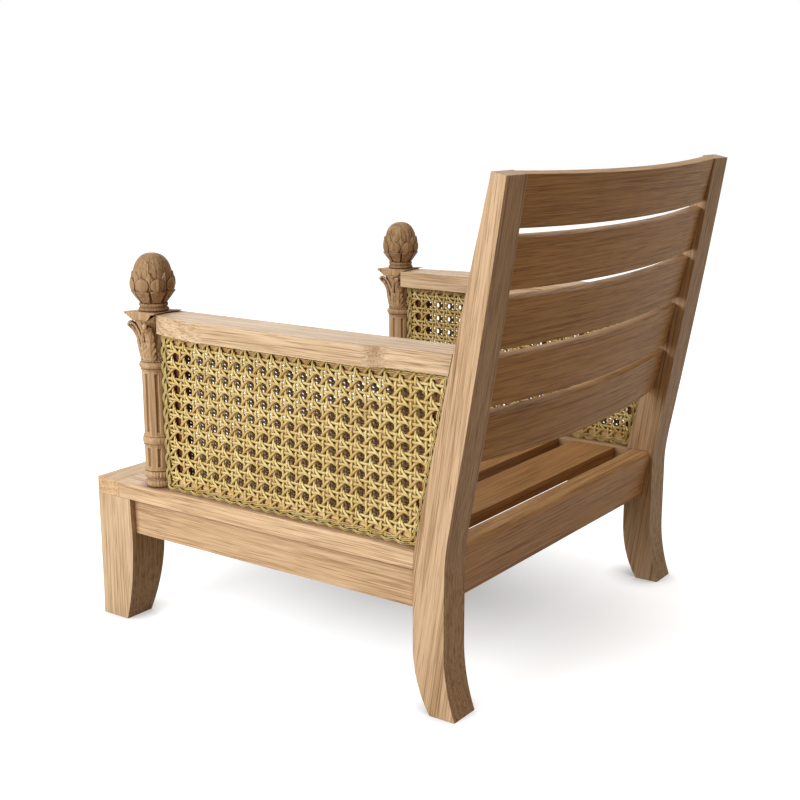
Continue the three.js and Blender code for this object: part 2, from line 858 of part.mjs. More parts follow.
function column() {
  const { points, lowerShaft, midRing, upperShaft, topRing, bell } = columnProfile();
  const quarter = Math.PI / 2;
  const corners = [0, 1, 2, 3].map((i) => quarter * (i + 1 / 2));
  const faces = [0, 1, 2, 3].map((i) => quarter * i);
  const carved = join(
    turned(points),
    abacus(),
    ...corners.map((angle) => scroll(angle, bell)),
    ...corners.map((angle) => leaf(angle, bell, cornerLeafHigh, cornerLeafWide, cornerLeafOut)),
    ...faces.map((angle) => leaf(angle, bell, faceLeafHigh, faceLeafWide, faceLeafOut)),
  );
  const lowerFoot = (lowerShaft + midRing - lowerFluteLength) / 2;
  const upperFoot = (upperShaft + topRing - upperFluteLength) / 2;
  const fluted = cut(
    carved,
    ...flutes(lowerShaftRadius, lowerFoot, lowerFluteLength),
    ...flutes(upperShaftRadius, upperFoot, upperFluteLength),
  ).translate([columnX, columnY, deckTop]);
  const socketFoot = abacusTop - finialSpigotLength - gap;
  const socket = peg(columnX, columnY, finialSpigotRadius + gap, socketFoot, abacusTop + overrun);
  const seat = planBoard(armPlan(gap), armUnder - gap, armTop + gap);
  const reach = panelThick / 2 + gap;
  const railEnd = block(
    columnX - reach,
    columnX + reach,
    panelFrontY - gap,
    panelFrontY + panelThick,
    armUnder - panelRailHigh - overrun,
    armUnder,
  );
  return largest(cut(fluted, socket, seat, railEnd, armPeg(gap)));
}

// Finials

function budProfile() {
  const foot = gap;
  const neck = foot + footRingHigh;
  const cupRing = neck + ringNeckHigh;
  const cup = cupRing + cupRingHigh;
  const body = cup + cupHigh;
  const top = finialTop - abacusTop;
  const path = new THREE.Path();
  path.moveTo(0, -finialSpigotLength);
  path.lineTo(finialSpigotRadius, -finialSpigotLength);
  path.lineTo(finialSpigotRadius, foot);
  path.lineTo(ringNeckRadius, foot);
  bead(path, foot, footRingHigh, ringNeckRadius, footRingRadius);
  path.lineTo(ringNeckRadius, cupRing);
  bead(path, cupRing, cupRingHigh, ringNeckRadius, cupRingRadius);
  path.lineTo(cupRadius, body);
  const points = path.getPoints(bandSteps);
  for (let i = 1; i <= budSteps; i += 1) {
    const turn = (Math.PI / 2) * (i / budSteps);
    const z = body + ((budWidest - body) * i) / budSteps;
    points.push(new THREE.Vector2(cupRadius + (budRadius - cupRadius) * Math.sin(turn), z));
  }
  for (let i = 1; i <= budSteps; i += 1) {
    const turn = (Math.PI / 2) * (i / budSteps);
    const z = budWidest + (top - budWidest) * Math.sin(turn);
    points.push(new THREE.Vector2(budRadius * Math.cos(turn), z));
  }
  points.at(-1).x = 0;
  return { points, body };
}

// Widths of a petal and how far it swells, from root to tip, as shares of its width and swell.
const petalWidthShares = [0.42, 0.8, 1, 0.8, 0.16];
const petalSwellShares = [0, 0.55, 0.86, 1, 1];

function petal(angle, foot, high, radius, wide) {
  const last = petalSwellShares.length - 1;
  const path = petalSwellShares.map(
    (swell, i) => new THREE.Vector2(cupRadius + (radius - cupRadius) * swell, foot + (high * i) / last),
  );
  return rib(path, petalWidthShares.map((share) => wide * share), petalThick, angle);
}

function finial() {
  const { points, body } = budProfile();
  const turn = (2 * Math.PI) / petalCount;
  const places = Array.from({ length: petalCount }, (_, i) => i);
  const foot = body - cupHigh / 2;
  return join(
    turned(points),
    ...places.map((i) => petal(turn * (i + 1 / 2), foot, outerPetalHigh, outerPetalRadius, outerPetalWide)),
    ...places.map((i) => petal(turn * i, foot, innerPetalHigh, innerPetalRadius, innerPetalWide)),
  ).translate([columnX, columnY, abacusTop]);
}

// Caned panels

const panelInnerX = columnX - panelThick / 2;
const panelOuterX = columnX + panelThick / 2;
const panelFoot = deckTop + gap;
const panelHead = armUnder - gap;
const postFoot = panelFoot + panelRailHigh + gap;
const postHead = panelHead - panelRailHigh - gap;

// The tongue along the foot or head of a panel, or with room round it, the groove that takes it.
function panelTongue(z0, z1, room) {
  const half = tongueWide / 2 + room;
  const end = room > 0 ? overrun : -gap;
  const body = block(columnX - half, columnX + half, panelFrontY - room, backFrontAt(armTop), z0, z1);
  return cut(body, behindLegs(end, columnX - half - overrun, columnX + half + overrun));
}

function panelRail(z0, z1) {
  const body = block(panelInnerX, panelOuterX, panelFrontY, backFrontAt(armTop), z0, z1);
  return cut(
    body,
    behindLegs(-gap, panelInnerX - overrun, panelOuterX + overrun),
    frontPostTenon(gap),
    rearPostTenon(gap),
  );
}

function panelBottomRail() {
  const tongue = panelTongue(deckTop - tongueDeep, panelFoot + overrun, 0);
  return join(panelRail(panelFoot, panelFoot + panelRailHigh), tongue);
}

function panelTopRail() {
  const tongue = panelTongue(panelHead - overrun, armUnder + tongueDeep, 0);
  return join(panelRail(panelHead - panelRailHigh, panelHead), tongue);
}

const tenonHalf = frontPostThick / 2 - gap;

function frontPostTenon(room) {
  return block(
    columnX - tenonHalf - room,
    columnX + tenonHalf + room,
    panelFrontY + postTenon - room,
    panelFrontY + frontPostWide - postTenon + room,
    postFoot - postTenon - room,
    postHead + postTenon + room,
  );
}

function frontPost() {
  const half = frontPostThick / 2;
  const body = block(
    columnX - half,
    columnX + half,
    panelFrontY,
    panelFrontY + frontPostWide,
    postFoot,
    postHead,
  );
  return join(body, frontPostTenon(0));
}

// A post that follows the front face of the back leg.
function rearPostBody(x0, x1, room, inset, z0, z1) {
  const reach = rearPostWide - inset + room;
  const zone = block(x0, x1, kneeFrontY - rearPostWide - gap, backFrontAt(armTop), z0, z1);
  const leg = behindLegs(-gap - inset + room, x0 - overrun, x1 + overrun);
  const post = behindLegs(-gap - reach, x0 - overrun, x1 + overrun);
  return cut(zone.intersect(post), leg);
}

const rearPostTenon = (room) =>
  rearPostBody(
    columnX - tenonHalf - room,
    columnX + tenonHalf + room,
    room,
    postTenon,
    postFoot - postTenon - room,
    postHead + postTenon + room,
  );
const rearPost = () =>
  join(rearPostBody(panelInnerX, panelOuterX, 0, 0, postFoot, postHead), rearPostTenon(0));

// A cane web lies on one face of the panel frame and has an opening at each crossing of the grid.
function caneWeb(x0, x1, everyRow) {
  const foot = panelFoot + 2 * braidRadius + gap;
  const head = panelHead - 2 * braidRadius - gap;
  const outline = new THREE.Shape();
  outline.moveTo(columnY + webStart, foot);
  outline.lineTo(backFrontAt(foot) - webBehind, foot);
  outline.lineTo(backFrontAt(head) - webBehind, head);
  outline.lineTo(columnY + webStart, head);
  const web = sideBoard(outline, x0, x1);
  const openings = [];
  const pitch = canePitch * everyRow;
  const half = (caneOpening + canePitch * (everyRow - 1)) / 2;
  const middle = (canePitch * (everyRow - 1)) / 2;
  for (let z = deckTop + caneFirstRow + middle; z + half < postHead + gap; z += pitch) {
    const rear = Math.min(backFrontAt(z - half), backFrontAt(z + half)) - rearPostWide - caneEdge;
    for (let y = columnY + caneFirstColumn + middle; y + half < rear; y += pitch) {
      openings.push(block(x0 - overrun, x1 + overrun, y - half, y + half, z - half, z + half));
    }
  }
  return cut(web, ...openings);
}

// The plaited edging round a web: an endless bar with mitred corners, on the middle plane x.
function edging(x) {
  const foot = panelFoot + braidRadius;
  const head = panelHead - braidRadius;
  const front = columnY + braidStart;
  const corners = [
    new THREE.Vector2(front, foot),
    new THREE.Vector2(backFrontAt(foot) - braidBehind, foot),
    new THREE.Vector2(backFrontAt(head) - braidBehind, head),
    new THREE.Vector2(front, head),
  ];
  const outward = corners.map((corner, i) => {
    const run = corners[(i + 1) % corners.length].clone().sub(corner).normalize();
    return new THREE.Vector2(run.y, -run.x);
  });
  const rings = corners.map((corner, i) => {
    const [before, after] = [outward.at(i - 1), outward[i]];
    const mitre = before.clone().add(after).divideScalar(1 + before.dot(after));
    return Array.from({ length: braidSides }, (_, j) => {
      const angle = (2 * Math.PI * j) / braidSides;
      const out = corner.clone().addScaledVector(mitre, braidRadius * Math.cos(angle));
      return new THREE.Vector3(x - braidRadius * Math.sin(angle), out.x, out.y);
    });
  });
  return endless(rings);
}

// The chair

const chair = new THREE.Group();
const leftSide = new THREE.Group();
const rightSide = new THREE.Group();
rightSide.scale.x = -1;
chair.add(leftSide, rightSide);

function place(group, name, solid, material) {
  const mesh = new THREE.Mesh(geometryOf(solid), material);
  mesh.name = name;
  group.add(mesh);
}

function placePair(name, solid, material) {
  place(leftSide, name + "_left", solid, material);
  place(rightSide, name + "_right", solid, material);
}

placePair("front_leg", frontLeg(), teak);
placePair("back_leg", backLeg(), teak);
place(chair, "front_deck_rail", frontDeckRail(), teak);
placePair("side_deck_rail", sideDeckRail(), teak);
place(chair, "front_apron", frontApron(), teak);
placePair("side_apron", sideApron(), teak);
place(chair, "rear_apron", rearApron(), teak);
for (let i = 0; i < seatSlatCount; i += 1) {
  place(chair, "seat_slat_" + (i + 1), seatSlat(i), teak);
}
for (let i = 0; i < backSlatCount; i += 1) {
  place(chair, "back_slat_" + (i + 1), backSlat(i), teak);
}
placePair("arm", arm(), teak);
placePair("column", column(), teak);
placePair("finial", finial(), teak);
placePair("panel_bottom_rail", panelBottomRail(), teak);
placePair("panel_top_rail", panelTopRail(), teak);
placePair("panel_front_post", frontPost(), teak);
placePair("panel_rear_post", rearPost(), teak);
placePair("cane_outer", caneWeb(panelOuterX + gap, panelOuterX + gap + caneThick, 1), cane);
placePair("cane_inner", caneWeb(panelInnerX - gap - caneThick, panelInnerX - gap, 2), cane);
placePair("edging_outer", edging(panelOuterX + gap + braidRadius), cane);
placePair("edging_inner", edging(panelInnerX - gap - braidRadius), cane);

export default chair;
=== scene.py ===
import math
from types import SimpleNamespace

import bpy
import numpy as np
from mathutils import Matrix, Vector

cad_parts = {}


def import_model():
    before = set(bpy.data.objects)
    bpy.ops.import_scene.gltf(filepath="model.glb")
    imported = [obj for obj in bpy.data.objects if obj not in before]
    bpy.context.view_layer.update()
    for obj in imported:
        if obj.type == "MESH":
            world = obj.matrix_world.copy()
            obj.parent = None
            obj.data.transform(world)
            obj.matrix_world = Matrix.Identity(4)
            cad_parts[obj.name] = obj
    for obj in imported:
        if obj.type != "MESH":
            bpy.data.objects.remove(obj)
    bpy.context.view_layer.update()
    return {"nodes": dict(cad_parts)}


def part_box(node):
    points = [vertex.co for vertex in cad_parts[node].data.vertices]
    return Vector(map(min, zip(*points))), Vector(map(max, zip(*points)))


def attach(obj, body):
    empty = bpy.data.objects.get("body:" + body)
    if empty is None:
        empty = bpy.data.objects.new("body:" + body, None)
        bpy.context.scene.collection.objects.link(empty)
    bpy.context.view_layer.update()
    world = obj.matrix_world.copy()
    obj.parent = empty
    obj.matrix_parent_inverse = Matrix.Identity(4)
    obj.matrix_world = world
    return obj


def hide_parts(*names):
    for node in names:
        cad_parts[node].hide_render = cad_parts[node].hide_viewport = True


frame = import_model()
nodes = frame["nodes"]

# Sizes in metres. Places come from the frame.
MM = 0.001
TURN = 2 * math.pi
QUARTER = math.pi / 2

# Timber
ARRIS = 1.2 * MM  # rounding of the sawn edges
SLAT_ARRIS = 3.2 * MM  # rounding of the slats' edges
FINE_ARRIS = 0.8 * MM  # rounding of the panel frames' edges
ARRIS_STEPS = 3
ARRIS_ANGLE = math.radians(35)  # sharper edges than this are rounded
FLAT_ANGLE = math.radians(0.5)  # faces nearer in angle than this are joined

# Columns, from the deck up
GAP = 0.3 * MM
BASE_TORUS_HIGH = 12 * MM
BASE_TORUS_RADIUS = 25.5 * MM
BASE_NECK_HIGH = 3.5 * MM
BASE_NECK_RADIUS = 21.7 * MM
GADROON_HIGH = 14 * MM
GADROON_RADIUS = 28.3 * MM
LOWER_SHAFT_HIGH = 45 * MM
LOWER_SHAFT_RADIUS = 24.8 * MM
MID_RING_HIGH = 13.5 * MM
MID_RING_RADIUS = 27.4 * MM
UPPER_SHAFT_HIGH = 115 * MM
UPPER_SHAFT_RADIUS = 24.2 * MM
TOP_RING_HIGH = 12.5 * MM
TOP_RING_RADIUS = 28.3 * MM
FILLET_HIGH = 2.5 * MM
FILLET_OUT = 1.2 * MM
BELL_FOOT_RADIUS = 21.5 * MM
BELL_WAIST_RADIUS = 24 * MM
BELL_LIP_RADIUS = 33 * MM
BELL_PULL_DROP = 13 * MM  # from the lip down to the point that pulls the curve of the bell
LIP_CLIMB = 16 * MM  # from the lip down to where the bell starts to climb with the top plate
ABACUS_HIGH = 14.5 * MM
ABACUS_HALF = 34.5 * MM
ABACUS_HOLLOW = 5.5 * MM
ABACUS_FOOT_RADIUS = 36.5 * MM
ABACUS_HORN_RADIUS = 50 * MM
ABACUS_RISE = 11 * MM  # how far its underside climbs towards the arm
ABACUS_EDGE = 2.2 * MM
ABACUS_BEVEL = 0.4 * MM
ABACUS_FOOT_SHARE = 0.97  # of its foot's radius, where the plate meets the bell
HAIR = 0.01 * MM  # between two rings that make a crisp edge
RISE_START = 9 * MM  # from the column's axis to where the climb begins
ARM_START = 25 * MM  # from the column's axis to the front end of the arm
FLUTE_COUNT = 8
FLUTE_HALF = 3.2 * MM
FLUTE_DEEP = 3 * MM
FLUTE_FLAT_SHARE = 0.7  # of a flute's half width that is cut to the full depth
FLUTE_END = 1.2 * MM  # how far a flute takes to reach its depth at each end
UPPER_FLUTE = 100 * MM
LOWER_FLUTE = 32.5 * MM
BEAD_COUNT = 30
GADROON_COUNT = 30
BEAD_DEEP = 1 * MM
ROUND_STEPS = 360
BEAD_STEPS = 14

# Capital. A point is a radius and a height above the foot of the bell.
ARM_CORNER = math.radians(28)  # the bearing of the carving at the corners beside the arm
LEAF_THICK = 3 * MM
LEAF_ROOT = (22.4 * MM, FILLET_HIGH)
RIB_SHARE = 0.15  # of a leaf's half width
VEIN_SLANT = 0.9
FACE_LEAF_PULL = (25.8 * MM, 20 * MM)
FACE_LEAF_TIP = (27.8 * MM, 35 * MM)
FACE_LEAF_HALF = 10.6 * MM
FACE_LEAF_CARVING = {"lobes": 4, "cup": 0.8 * MM, "rib": 1.3 * MM, "notch": 0.3, "veins": 2.2 * MM}
CORNER_LEAF_PULL = (26.4 * MM, 24 * MM)
CORNER_LEAF_BEND = (28 * MM, 42 * MM)
CORNER_LEAF_CREST = (28.8 * MM, 46 * MM)
CORNER_LEAF_TIP = (31 * MM, 45 * MM)
CORNER_LEAF_HALF = 9.8 * MM
CORNER_LEAF_CARVING = {"lobes": 4, "cup": 1.2 * MM, "rib": 1.3 * MM, "notch": 0.22, "veins": 1.8 * MM}
HORN_ROOT = (24 * MM, 36 * MM)
HORN_PULL = (28 * MM, 52 * MM)
HORN_BEND = (35 * MM, 56.5 * MM)
HORN_CREST = (38.5 * MM, 57.8 * MM)
HORN_TIP = (40.4 * MM, 60 * MM)
HORN_HALF = 7.4 * MM
HORN_THICK = 10.5 * MM
HORN_CARVING = {"lobes": 2, "cup": 1.6 * MM, "rib": 0.8 * MM, "notch": 0.1, "veins": 0.8 * MM}
STEM_ROOT = (25.2 * MM, 26 * MM)
STEM_PULL_RADIUS = 26.4 * MM
STEM_PULL_DROP = 12 * MM  # below the lip of the bell
STEM_TIP_RADIUS = 32.4 * MM
STEM_HALF = 3 * MM
STEM_THICK = 2.4 * MM
STEM_CARVING = {"lobes": 0, "rib": 0.8 * MM}
SCROLL_ROOT = (25.6 * MM, 28 * MM)
SCROLL_PULL_RADIUS = 27.4 * MM
SCROLL_PULL_DROP = 3.4 * MM  # below the lip of the bell
SCROLL_REACH = 39.4 * MM
SCROLL_RADIUS = 3.7 * MM
SCROLL_WIDE = 8.6 * MM
SCROLL_THICK = 4.8 * MM
SCROLL_DROP = 1.4 * MM  # from the foot of the top plate to the scrolls
SCROLL_SWEEP = math.radians(35)  # from the middle of a face to its corner, along the stem
SCROLL_APART = math.radians(4.2)  # from the corner to the middle of each of its scrolls
SCROLL_END = -1.1 * math.pi  # where the curl ends, from the level
SCROLL_SIDES = 14

# Finials. A point is a radius and a height above the foot of the finial.
FOOT_RING_HIGH = 6 * MM
FOOT_RING_RADIUS = 25.2 * MM
CUP_RING_HIGH = 5.6 * MM
CUP_RING_RADIUS = 24 * MM
RING_NECK_HIGH = 1.6 * MM
RING_NECK_RADIUS = 22.4 * MM
CUP_RADIUS = 20.4 * MM
CUP_FOOT = 15.5 * MM  # above the foot of the finial
LEDGE_HIGH = 34.5 * MM
LEDGE_RADIUS = 35.4 * MM
BUD_RADIUS = 32.7 * MM
BUD_WIDEST = 54 * MM
CUP_EDGE = 0.6 * MM  # the plain foot of the cup
CUP_PULL = (28.6 * MM, 26 * MM)
CUP_TOP_RADIUS = 31.4 * MM
CUP_LEAF_OUT = 0.6 * MM
CUP_LEAF_PULL = (28 * MM, 25 * MM)
CUP_LEAF_THICK = 3 * MM
CUP_LEAF_CARVING = {"lobes": 0, "cup": -0.7 * MM, "rib": 0.7 * MM}
CUP_LIP_DEEP = 1.2 * MM
CUP_LIP_DROP = 1 * MM
CUP_LIP_RISE = 0.2 * MM
BUD_FULLNESS = 0.82  # 1 is an ellipse, and less is fuller at the top
BUD_TIP_RADIUS = 0.2 * MM
SEAM_DEEP = 1.4 * MM
SEAM_WIDTH = 0.1
SEAM_TURN = 0.02
SEAM_START = 10 * MM  # above the foot of the cup
SEAM_FADE = 12 * MM  # below the top, where the seams begin to fade
SEAM_STOP = 1 * MM
BUD_VEIN_DEEP = 0.4 * MM
PETAL_COUNT = 8
PETAL_THICK = 2.4 * MM
PETAL_ROOT_IN = 1.6 * MM
PETAL_SWELL = 2.2 * MM
PETAL_TIP_IN = 1 * MM
PETAL_TIP_HALF = 0.1 * MM
PETAL_WIDEST_SHARE = 0.4  # of its length
PETAL_TAPER_SHARE = 0.602  # just over the rest, so that the tip keeps some width
PETAL_ROOT_SHARE = 0.62  # of its width
PETAL_CARVING = {"lobes": 0, "cup": 1.6 * MM, "rib": 0.8 * MM}
OUTER_PETAL_DROP = 1 * MM  # from the ledge to its root
OUTER_PETAL_TOP = 56.5 * MM
OUTER_PETAL_RADIUS = 36.4 * MM
OUTER_PETAL_WIDE = 25.5 * MM
OUTER_PETAL_POINT = 3.4
INNER_PETAL_TOP = 66 * MM
INNER_PETAL_RADIUS = 33.3 * MM
INNER_PETAL_WIDE = 20 * MM
INNER_PETAL_POINT = 1.5
FINIAL_TURN = math.radians(-7)
RING_BEADS = 36
RING_BEAD_DEEP = 0.7 * MM

# Cane
CANE_PITCH = 27 * MM
CANE_PAIR = 3.9 * MM  # half the distance between the two strands of a pair
CANE_WIDE = 4.8 * MM
CANE_THICK = 3 * MM
CANE_LIFT = 1.3 * MM  # how far a strand moves to pass over or under another
DIAGONAL_LIFT = 2.2 * MM
CANE_FIRST_ROW = 39 * MM  # from the deck to the middle of the first full row of openings
CANE_FIRST_COLUMN = 56.8 * MM  # from the column's axis to the middle of the first openings
CANE_STEPS = 14  # rings in each pitch of a strand
CANE_SIDES = 8
CANE_FEWEST = 4  # a strand with fewer rings is left out
CANE_HOLD = 1.7  # how long a diagonal stays on top before it dives
CANE_SHIFT = 1.731  # along the streaks, from one strand to the next
WEB_STAND = 3.8 * MM  # from the panel frame to the middle of the web
INNER_SHIFT = (-4.5 * MM, 2 * MM)  # how far the openings of the inner web are moved to the front and up

# Plaited edgings
PLAIT_PITCH = 80 * MM
PLAIT_HALF = 4.3 * MM
PLAIT_LIFT = 2.5 * MM
PLY_HALF = 1.25 * MM  # half the distance between the two strands of a ply
PLY_RADIUS = 1.15 * MM
PLAIT_STAND = 4.9 * MM
PLAIT_CORNER = 7 * MM
PLAIT_STEP = 1.6 * MM
PLAIT_PLIES = 3
PLY_SHIFT = 2.31  # along the streaks, from one ply to the next
PLY_STRAND_SHIFT = 0.77

# Places from the frame
deck_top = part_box("side_deck_rail_left")[1][2]
finial_low, finial_high = (Vector(corner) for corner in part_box("finial_left"))
column_x = (finial_low.x + finial_high.x) / 2
column_y = (finial_low.y + finial_high.y) / 2
abacus_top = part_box("column_left")[1][2]
finial_top = finial_high.z
arm_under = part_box("arm_left")[0][2]
arm_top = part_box("arm_left")[1][2]
web_low, web_high = (Vector(corner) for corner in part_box("cane_outer_left"))
edge_low, edge_high = (Vector(corner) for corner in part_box("edging_outer_left"))
panel_low, panel_high = (Vector(corner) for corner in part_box("panel_bottom_rail_left"))
panel_half = (panel_high.x - panel_low.x) / 2
BACK_SLOPE = 0.2232  # how far the back leans for each metre of height
HIDDEN = 6 * MM  # how far the strands run on under the edging


# Meshes


def add_mesh(name, points, faces, uv, material, replaced):
    """A shaded mesh object that rides with the chair and stands for the nodes named in replaced."""
    mesh = bpy.data.meshes.new(name)
    mesh.from_pydata(points, [], faces)
    mesh.validate()
    mesh.polygons.foreach_set("use_smooth", [True] * len(mesh.polygons))
    layer = mesh.uv_layers.new(name="UVMap")
    corners = np.empty(len(mesh.loops), dtype=np.int32)
    mesh.loops.foreach_get("vertex_index", corners)
    layer.data.foreach_set("uv", uv[corners].ravel())
    mesh.materials.append(material)
    piece = bpy.data.objects.new(name, mesh)
    bpy.context.collection.objects.link(piece)
    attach(piece, "root")
    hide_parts(*replaced)


class Bundle:
    """Collects closed grids of points into one mesh."""

    def __init__(self):
        self.points, self.faces, self.uv, self.count = [], [], [], 0

    def add(self, rings, uv=None):
        """rings is an array (along, around, 3). Each ring is closed, and the ends are drawn to a point."""
        along, around = rings.shape[:2]
        ends = [np.repeat(rings[i].mean(axis=0)[None], around, axis=0)[None] for i in (0, -1)]
        rings = np.concatenate([ends[0], rings, ends[1]])
        if uv is None:
            uv = np.zeros((along, around, 2))
        uv = np.concatenate([uv[:1], uv, uv[-1:]])
        i, j = np.meshgrid(np.arange(along + 1), np.arange(around), indexing="ij")
        here, beside = i * around + j, i * around + (j + 1) % around
        quads = np.stack([here, beside, beside + around, here + around], axis=-1).reshape(-1, 4)
        self.points.append(rings.reshape(-1, 3))
        self.uv.append(uv.reshape(-1, 2))
        self.faces.append(quads + self.count)
        self.count += rings.shape[0] * around

    def loop(self, rings, uv):
        """Rings whose last is joined to the first."""
        along, around = rings.shape[:2]
        i, j = np.meshgrid(np.arange(along), np.arange(around), indexing="ij")
        here, beside = i * around + j, i * around + (j + 1) % around
        after = ((i + 1) % along) * around
        quads = np.stack([here, beside, after + (j + 1) % around, after + j], axis=-1).reshape(-1, 4)
        self.points.append(rings.reshape(-1, 3))
        self.uv.append(uv.reshape(-1, 2))
        self.faces.append(quads + self.count)
        self.count += along * around

    def build(self, kind, side, material, slot):
        """The piece that stands for the node of that kind and side. The right one is the mirror image."""
        points, faces = np.concatenate(self.points), np.concatenate(self.faces)
        if side == "right":
            points, faces = points * (-1, 1, 1), faces[:, ::-1]
        name, replaced = kind + "_dressed_" + side, [kind + "_" + side]
        add_mesh(name, points.tolist(), faces.tolist(), np.concatenate(self.uv), material, replaced)


def build_pair(bundle, kind, material, slot):
    for side in ("left", "right"):
        bundle.build(kind, side, material, slot)


def smooth_step(value, start, end):
    share = np.clip((value - start) / (end - start), 0, 1)
    return share * share * (3 - 2 * share)


def bezier(a, b, c, steps):
    """Points on the quadratic curve from a to c that b pulls."""
    t = np.linspace(0, 1, steps)[:, None]
    a, b, c = np.array(a), np.array(b), np.array(c)
    return (1 - t) ** 2 * a + 2 * t * (1 - t) * b + t**2 * c


# Materials


class Shader:
    """Builds one material's nodes, a call for each node."""

    def __init__(self, name):
        self.material = bpy.data.materials.new(name)
        self.material.use_nodes = True
        self.tree = self.material.node_tree
        self.surface = self.tree.nodes["Principled BSDF"]

    def node(self, kind, inputs=None, output=0, **settings):
        made = self.tree.nodes.new("ShaderNode" + kind)
        for key, value in settings.items():
            setattr(made, key, value)
        for key, value in (inputs or {}).items():
            self.feed(made.inputs[key], value)
        return made.outputs[output]

    def feed(self, socket, value):
        if isinstance(value, bpy.types.NodeSocket):
            self.tree.links.new(value, socket)
        else:
            socket.default_value = value

    def math(self, operation, a, b=0.0, c=0.0):
        return self.node("Math", {0: a, 1: b, 2: c}, operation=operation)

    def scaled(self, vector, scale):
        return self.node("VectorMath", {0: vector, 1: scale}, operation="MULTIPLY")

    def noise(self, vector, scale, detail=2.0, roughness=0.5):
        stretched = self.scaled(vector, scale)
        inputs = {"Vector": stretched, "Scale": 1.0, "Detail": detail, "Roughness": roughness}
        return self.node("TexNoise", inputs)

    def noise_vector(self, vector, scale):
        """Three noises at once, centred on zero."""
        inputs = {"Vector": self.scaled(vector, scale), "Scale": 1.0, "Detail": 1.0}
        colour = self.node("TexNoise", inputs, output=1)
        return self.node("VectorMath", {0: colour, 1: (0.5, 0.5, 0.5)}, operation="SUBTRACT")

    def painted_shade(self, reach):
        """0 in the open, towards 1 in grooves and corners narrower than reach: the mask for painted shade."""
        open_share = self.node("AmbientOcclusion", {"Distance": reach}, output=1, samples=6)
        return self.math("SUBTRACT", 1.0, open_share)

    def spread(self, value, low, high, to_low=0.0, to_high=1.0):
        inputs = {"Value": value, "From Min": low, "From Max": high, "To Min": to_low, "To Max": to_high}
        return self.node("MapRange", inputs)

    def ramp(self, factor, stops):
        made = self.tree.nodes.new("ShaderNodeValToRGB")
        elements = made.color_ramp.elements
        while len(elements) < len(stops):
            elements.new(0.5)
        for element, (place, colour) in zip(elements, stops):
            element.position = place
            element.color = (*colour, 1)
        self.feed(made.inputs["Fac"], factor)
        return made.outputs["Color"]

    def mix(self, factor, a, b, blend="MIX"):
        made = self.tree.nodes.new("ShaderNodeMix")
        made.data_type = "RGBA"
        made.blend_type = blend
        for key, value in ((0, factor), (6, a), (7, b)):
            self.feed(made.inputs[key], value if not isinstance(value, tuple) else (*value, 1))
        return made.outputs[2]

    def bump(self, height, distance):
        inputs = {"Height": height, "Distance": distance, "Strength": 1.0}
        self.feed(self.surface.inputs["Normal"], self.node("Bump", inputs))


TEAK_PALE = (0.72, 0.50, 0.30)
TEAK_MID = (0.58, 0.385, 0.21)
TEAK_DARK = (0.34, 0.195, 0.092)
TEAK_PORE = (0.21, 0.11, 0.05)
# Painted shade: the colours that grooves, joints and corners of the timber and of the carving are darkened to
TEAK_PAINTED_SHADE = (0.22, 0.105, 0.045)
CARVED_PAINTED_SHADE = (0.13, 0.055, 0.022)
BOWED = (1, 0.1, 1)  # depth counts for less in the bowed slats, so that their grain follows the bow

# How many features of the grain there are in a metre: across, across and along it
WANDER = (5, 5, 1.2)
WANDER_REACH = (0.014, 0.014, 0)  # how far the grain wanders, in metres
RINGS = 170.0
FIBRES = (540, 540, 9)
STREAKS = (230, 230, 3.2)
CLOUDS = (34, 34, 2.2)
PORES = (950, 950, 16)
MINERALS = (90, 90, 2.0)
RING_SHARE, FIBRE_SHARE, STREAK_SHARE, CLOUD_SHARE = 0.2, 0.42, 0.24, 0.14
TEAK_RELIEF = 0.22 * MM


def teak_grain(made, along):
    """The sanded colour of the wood and its relief. Returns the colour, the fibres and the pores."""
    wander = made.scaled(made.noise_vector(along, WANDER), WANDER_REACH)
    bent = made.node("VectorMath", {0: along, 1: wander}, operation="ADD")
    radius = made.node("VectorMath", {0: made.scaled(bent, (1, 1, 0))}, output=1, operation="LENGTH")
    ring_inputs = {"W": radius, "Scale": RINGS, "Detail": 2.5, "Roughness": 0.6}
    rings = made.node("TexNoise", ring_inputs, noise_dimensions="1D")
    fibre = made.noise(along, FIBRES, 2.0, 0.6)
    streak = made.noise(bent, STREAKS, 3.0, 0.6)
    cloud = made.noise(bent, CLOUDS, 2.0)
    pores = made.spread(made.noise(along, PORES, 1.0), 0.6, 0.7)
    mineral = made.spread(made.noise(bent, MINERALS, 2.0), 0.58, 0.74)

    grain = made.math("MULTIPLY", rings, RING_SHARE)
    grain = made.math("MULTIPLY_ADD", fibre, FIBRE_SHARE, grain)
    grain = made.math("MULTIPLY_ADD", streak, STREAK_SHARE, grain)
    grain = made.math("MULTIPLY_ADD", cloud, CLOUD_SHARE, grain)
    stops = [(0.0, TEAK_DARK), (0.45, TEAK_MID), (1.0, TEAK_PALE)]
    colour = made.ramp(made.spread(grain, 0.4, 0.59), stops)
    colour = made.mix(made.math("MULTIPLY", mineral, 0.4), colour, TEAK_DARK)
    colour = made.mix(made.math("MULTIPLY", pores, 0.6), colour, TEAK_PORE)
    return colour, fibre, pores


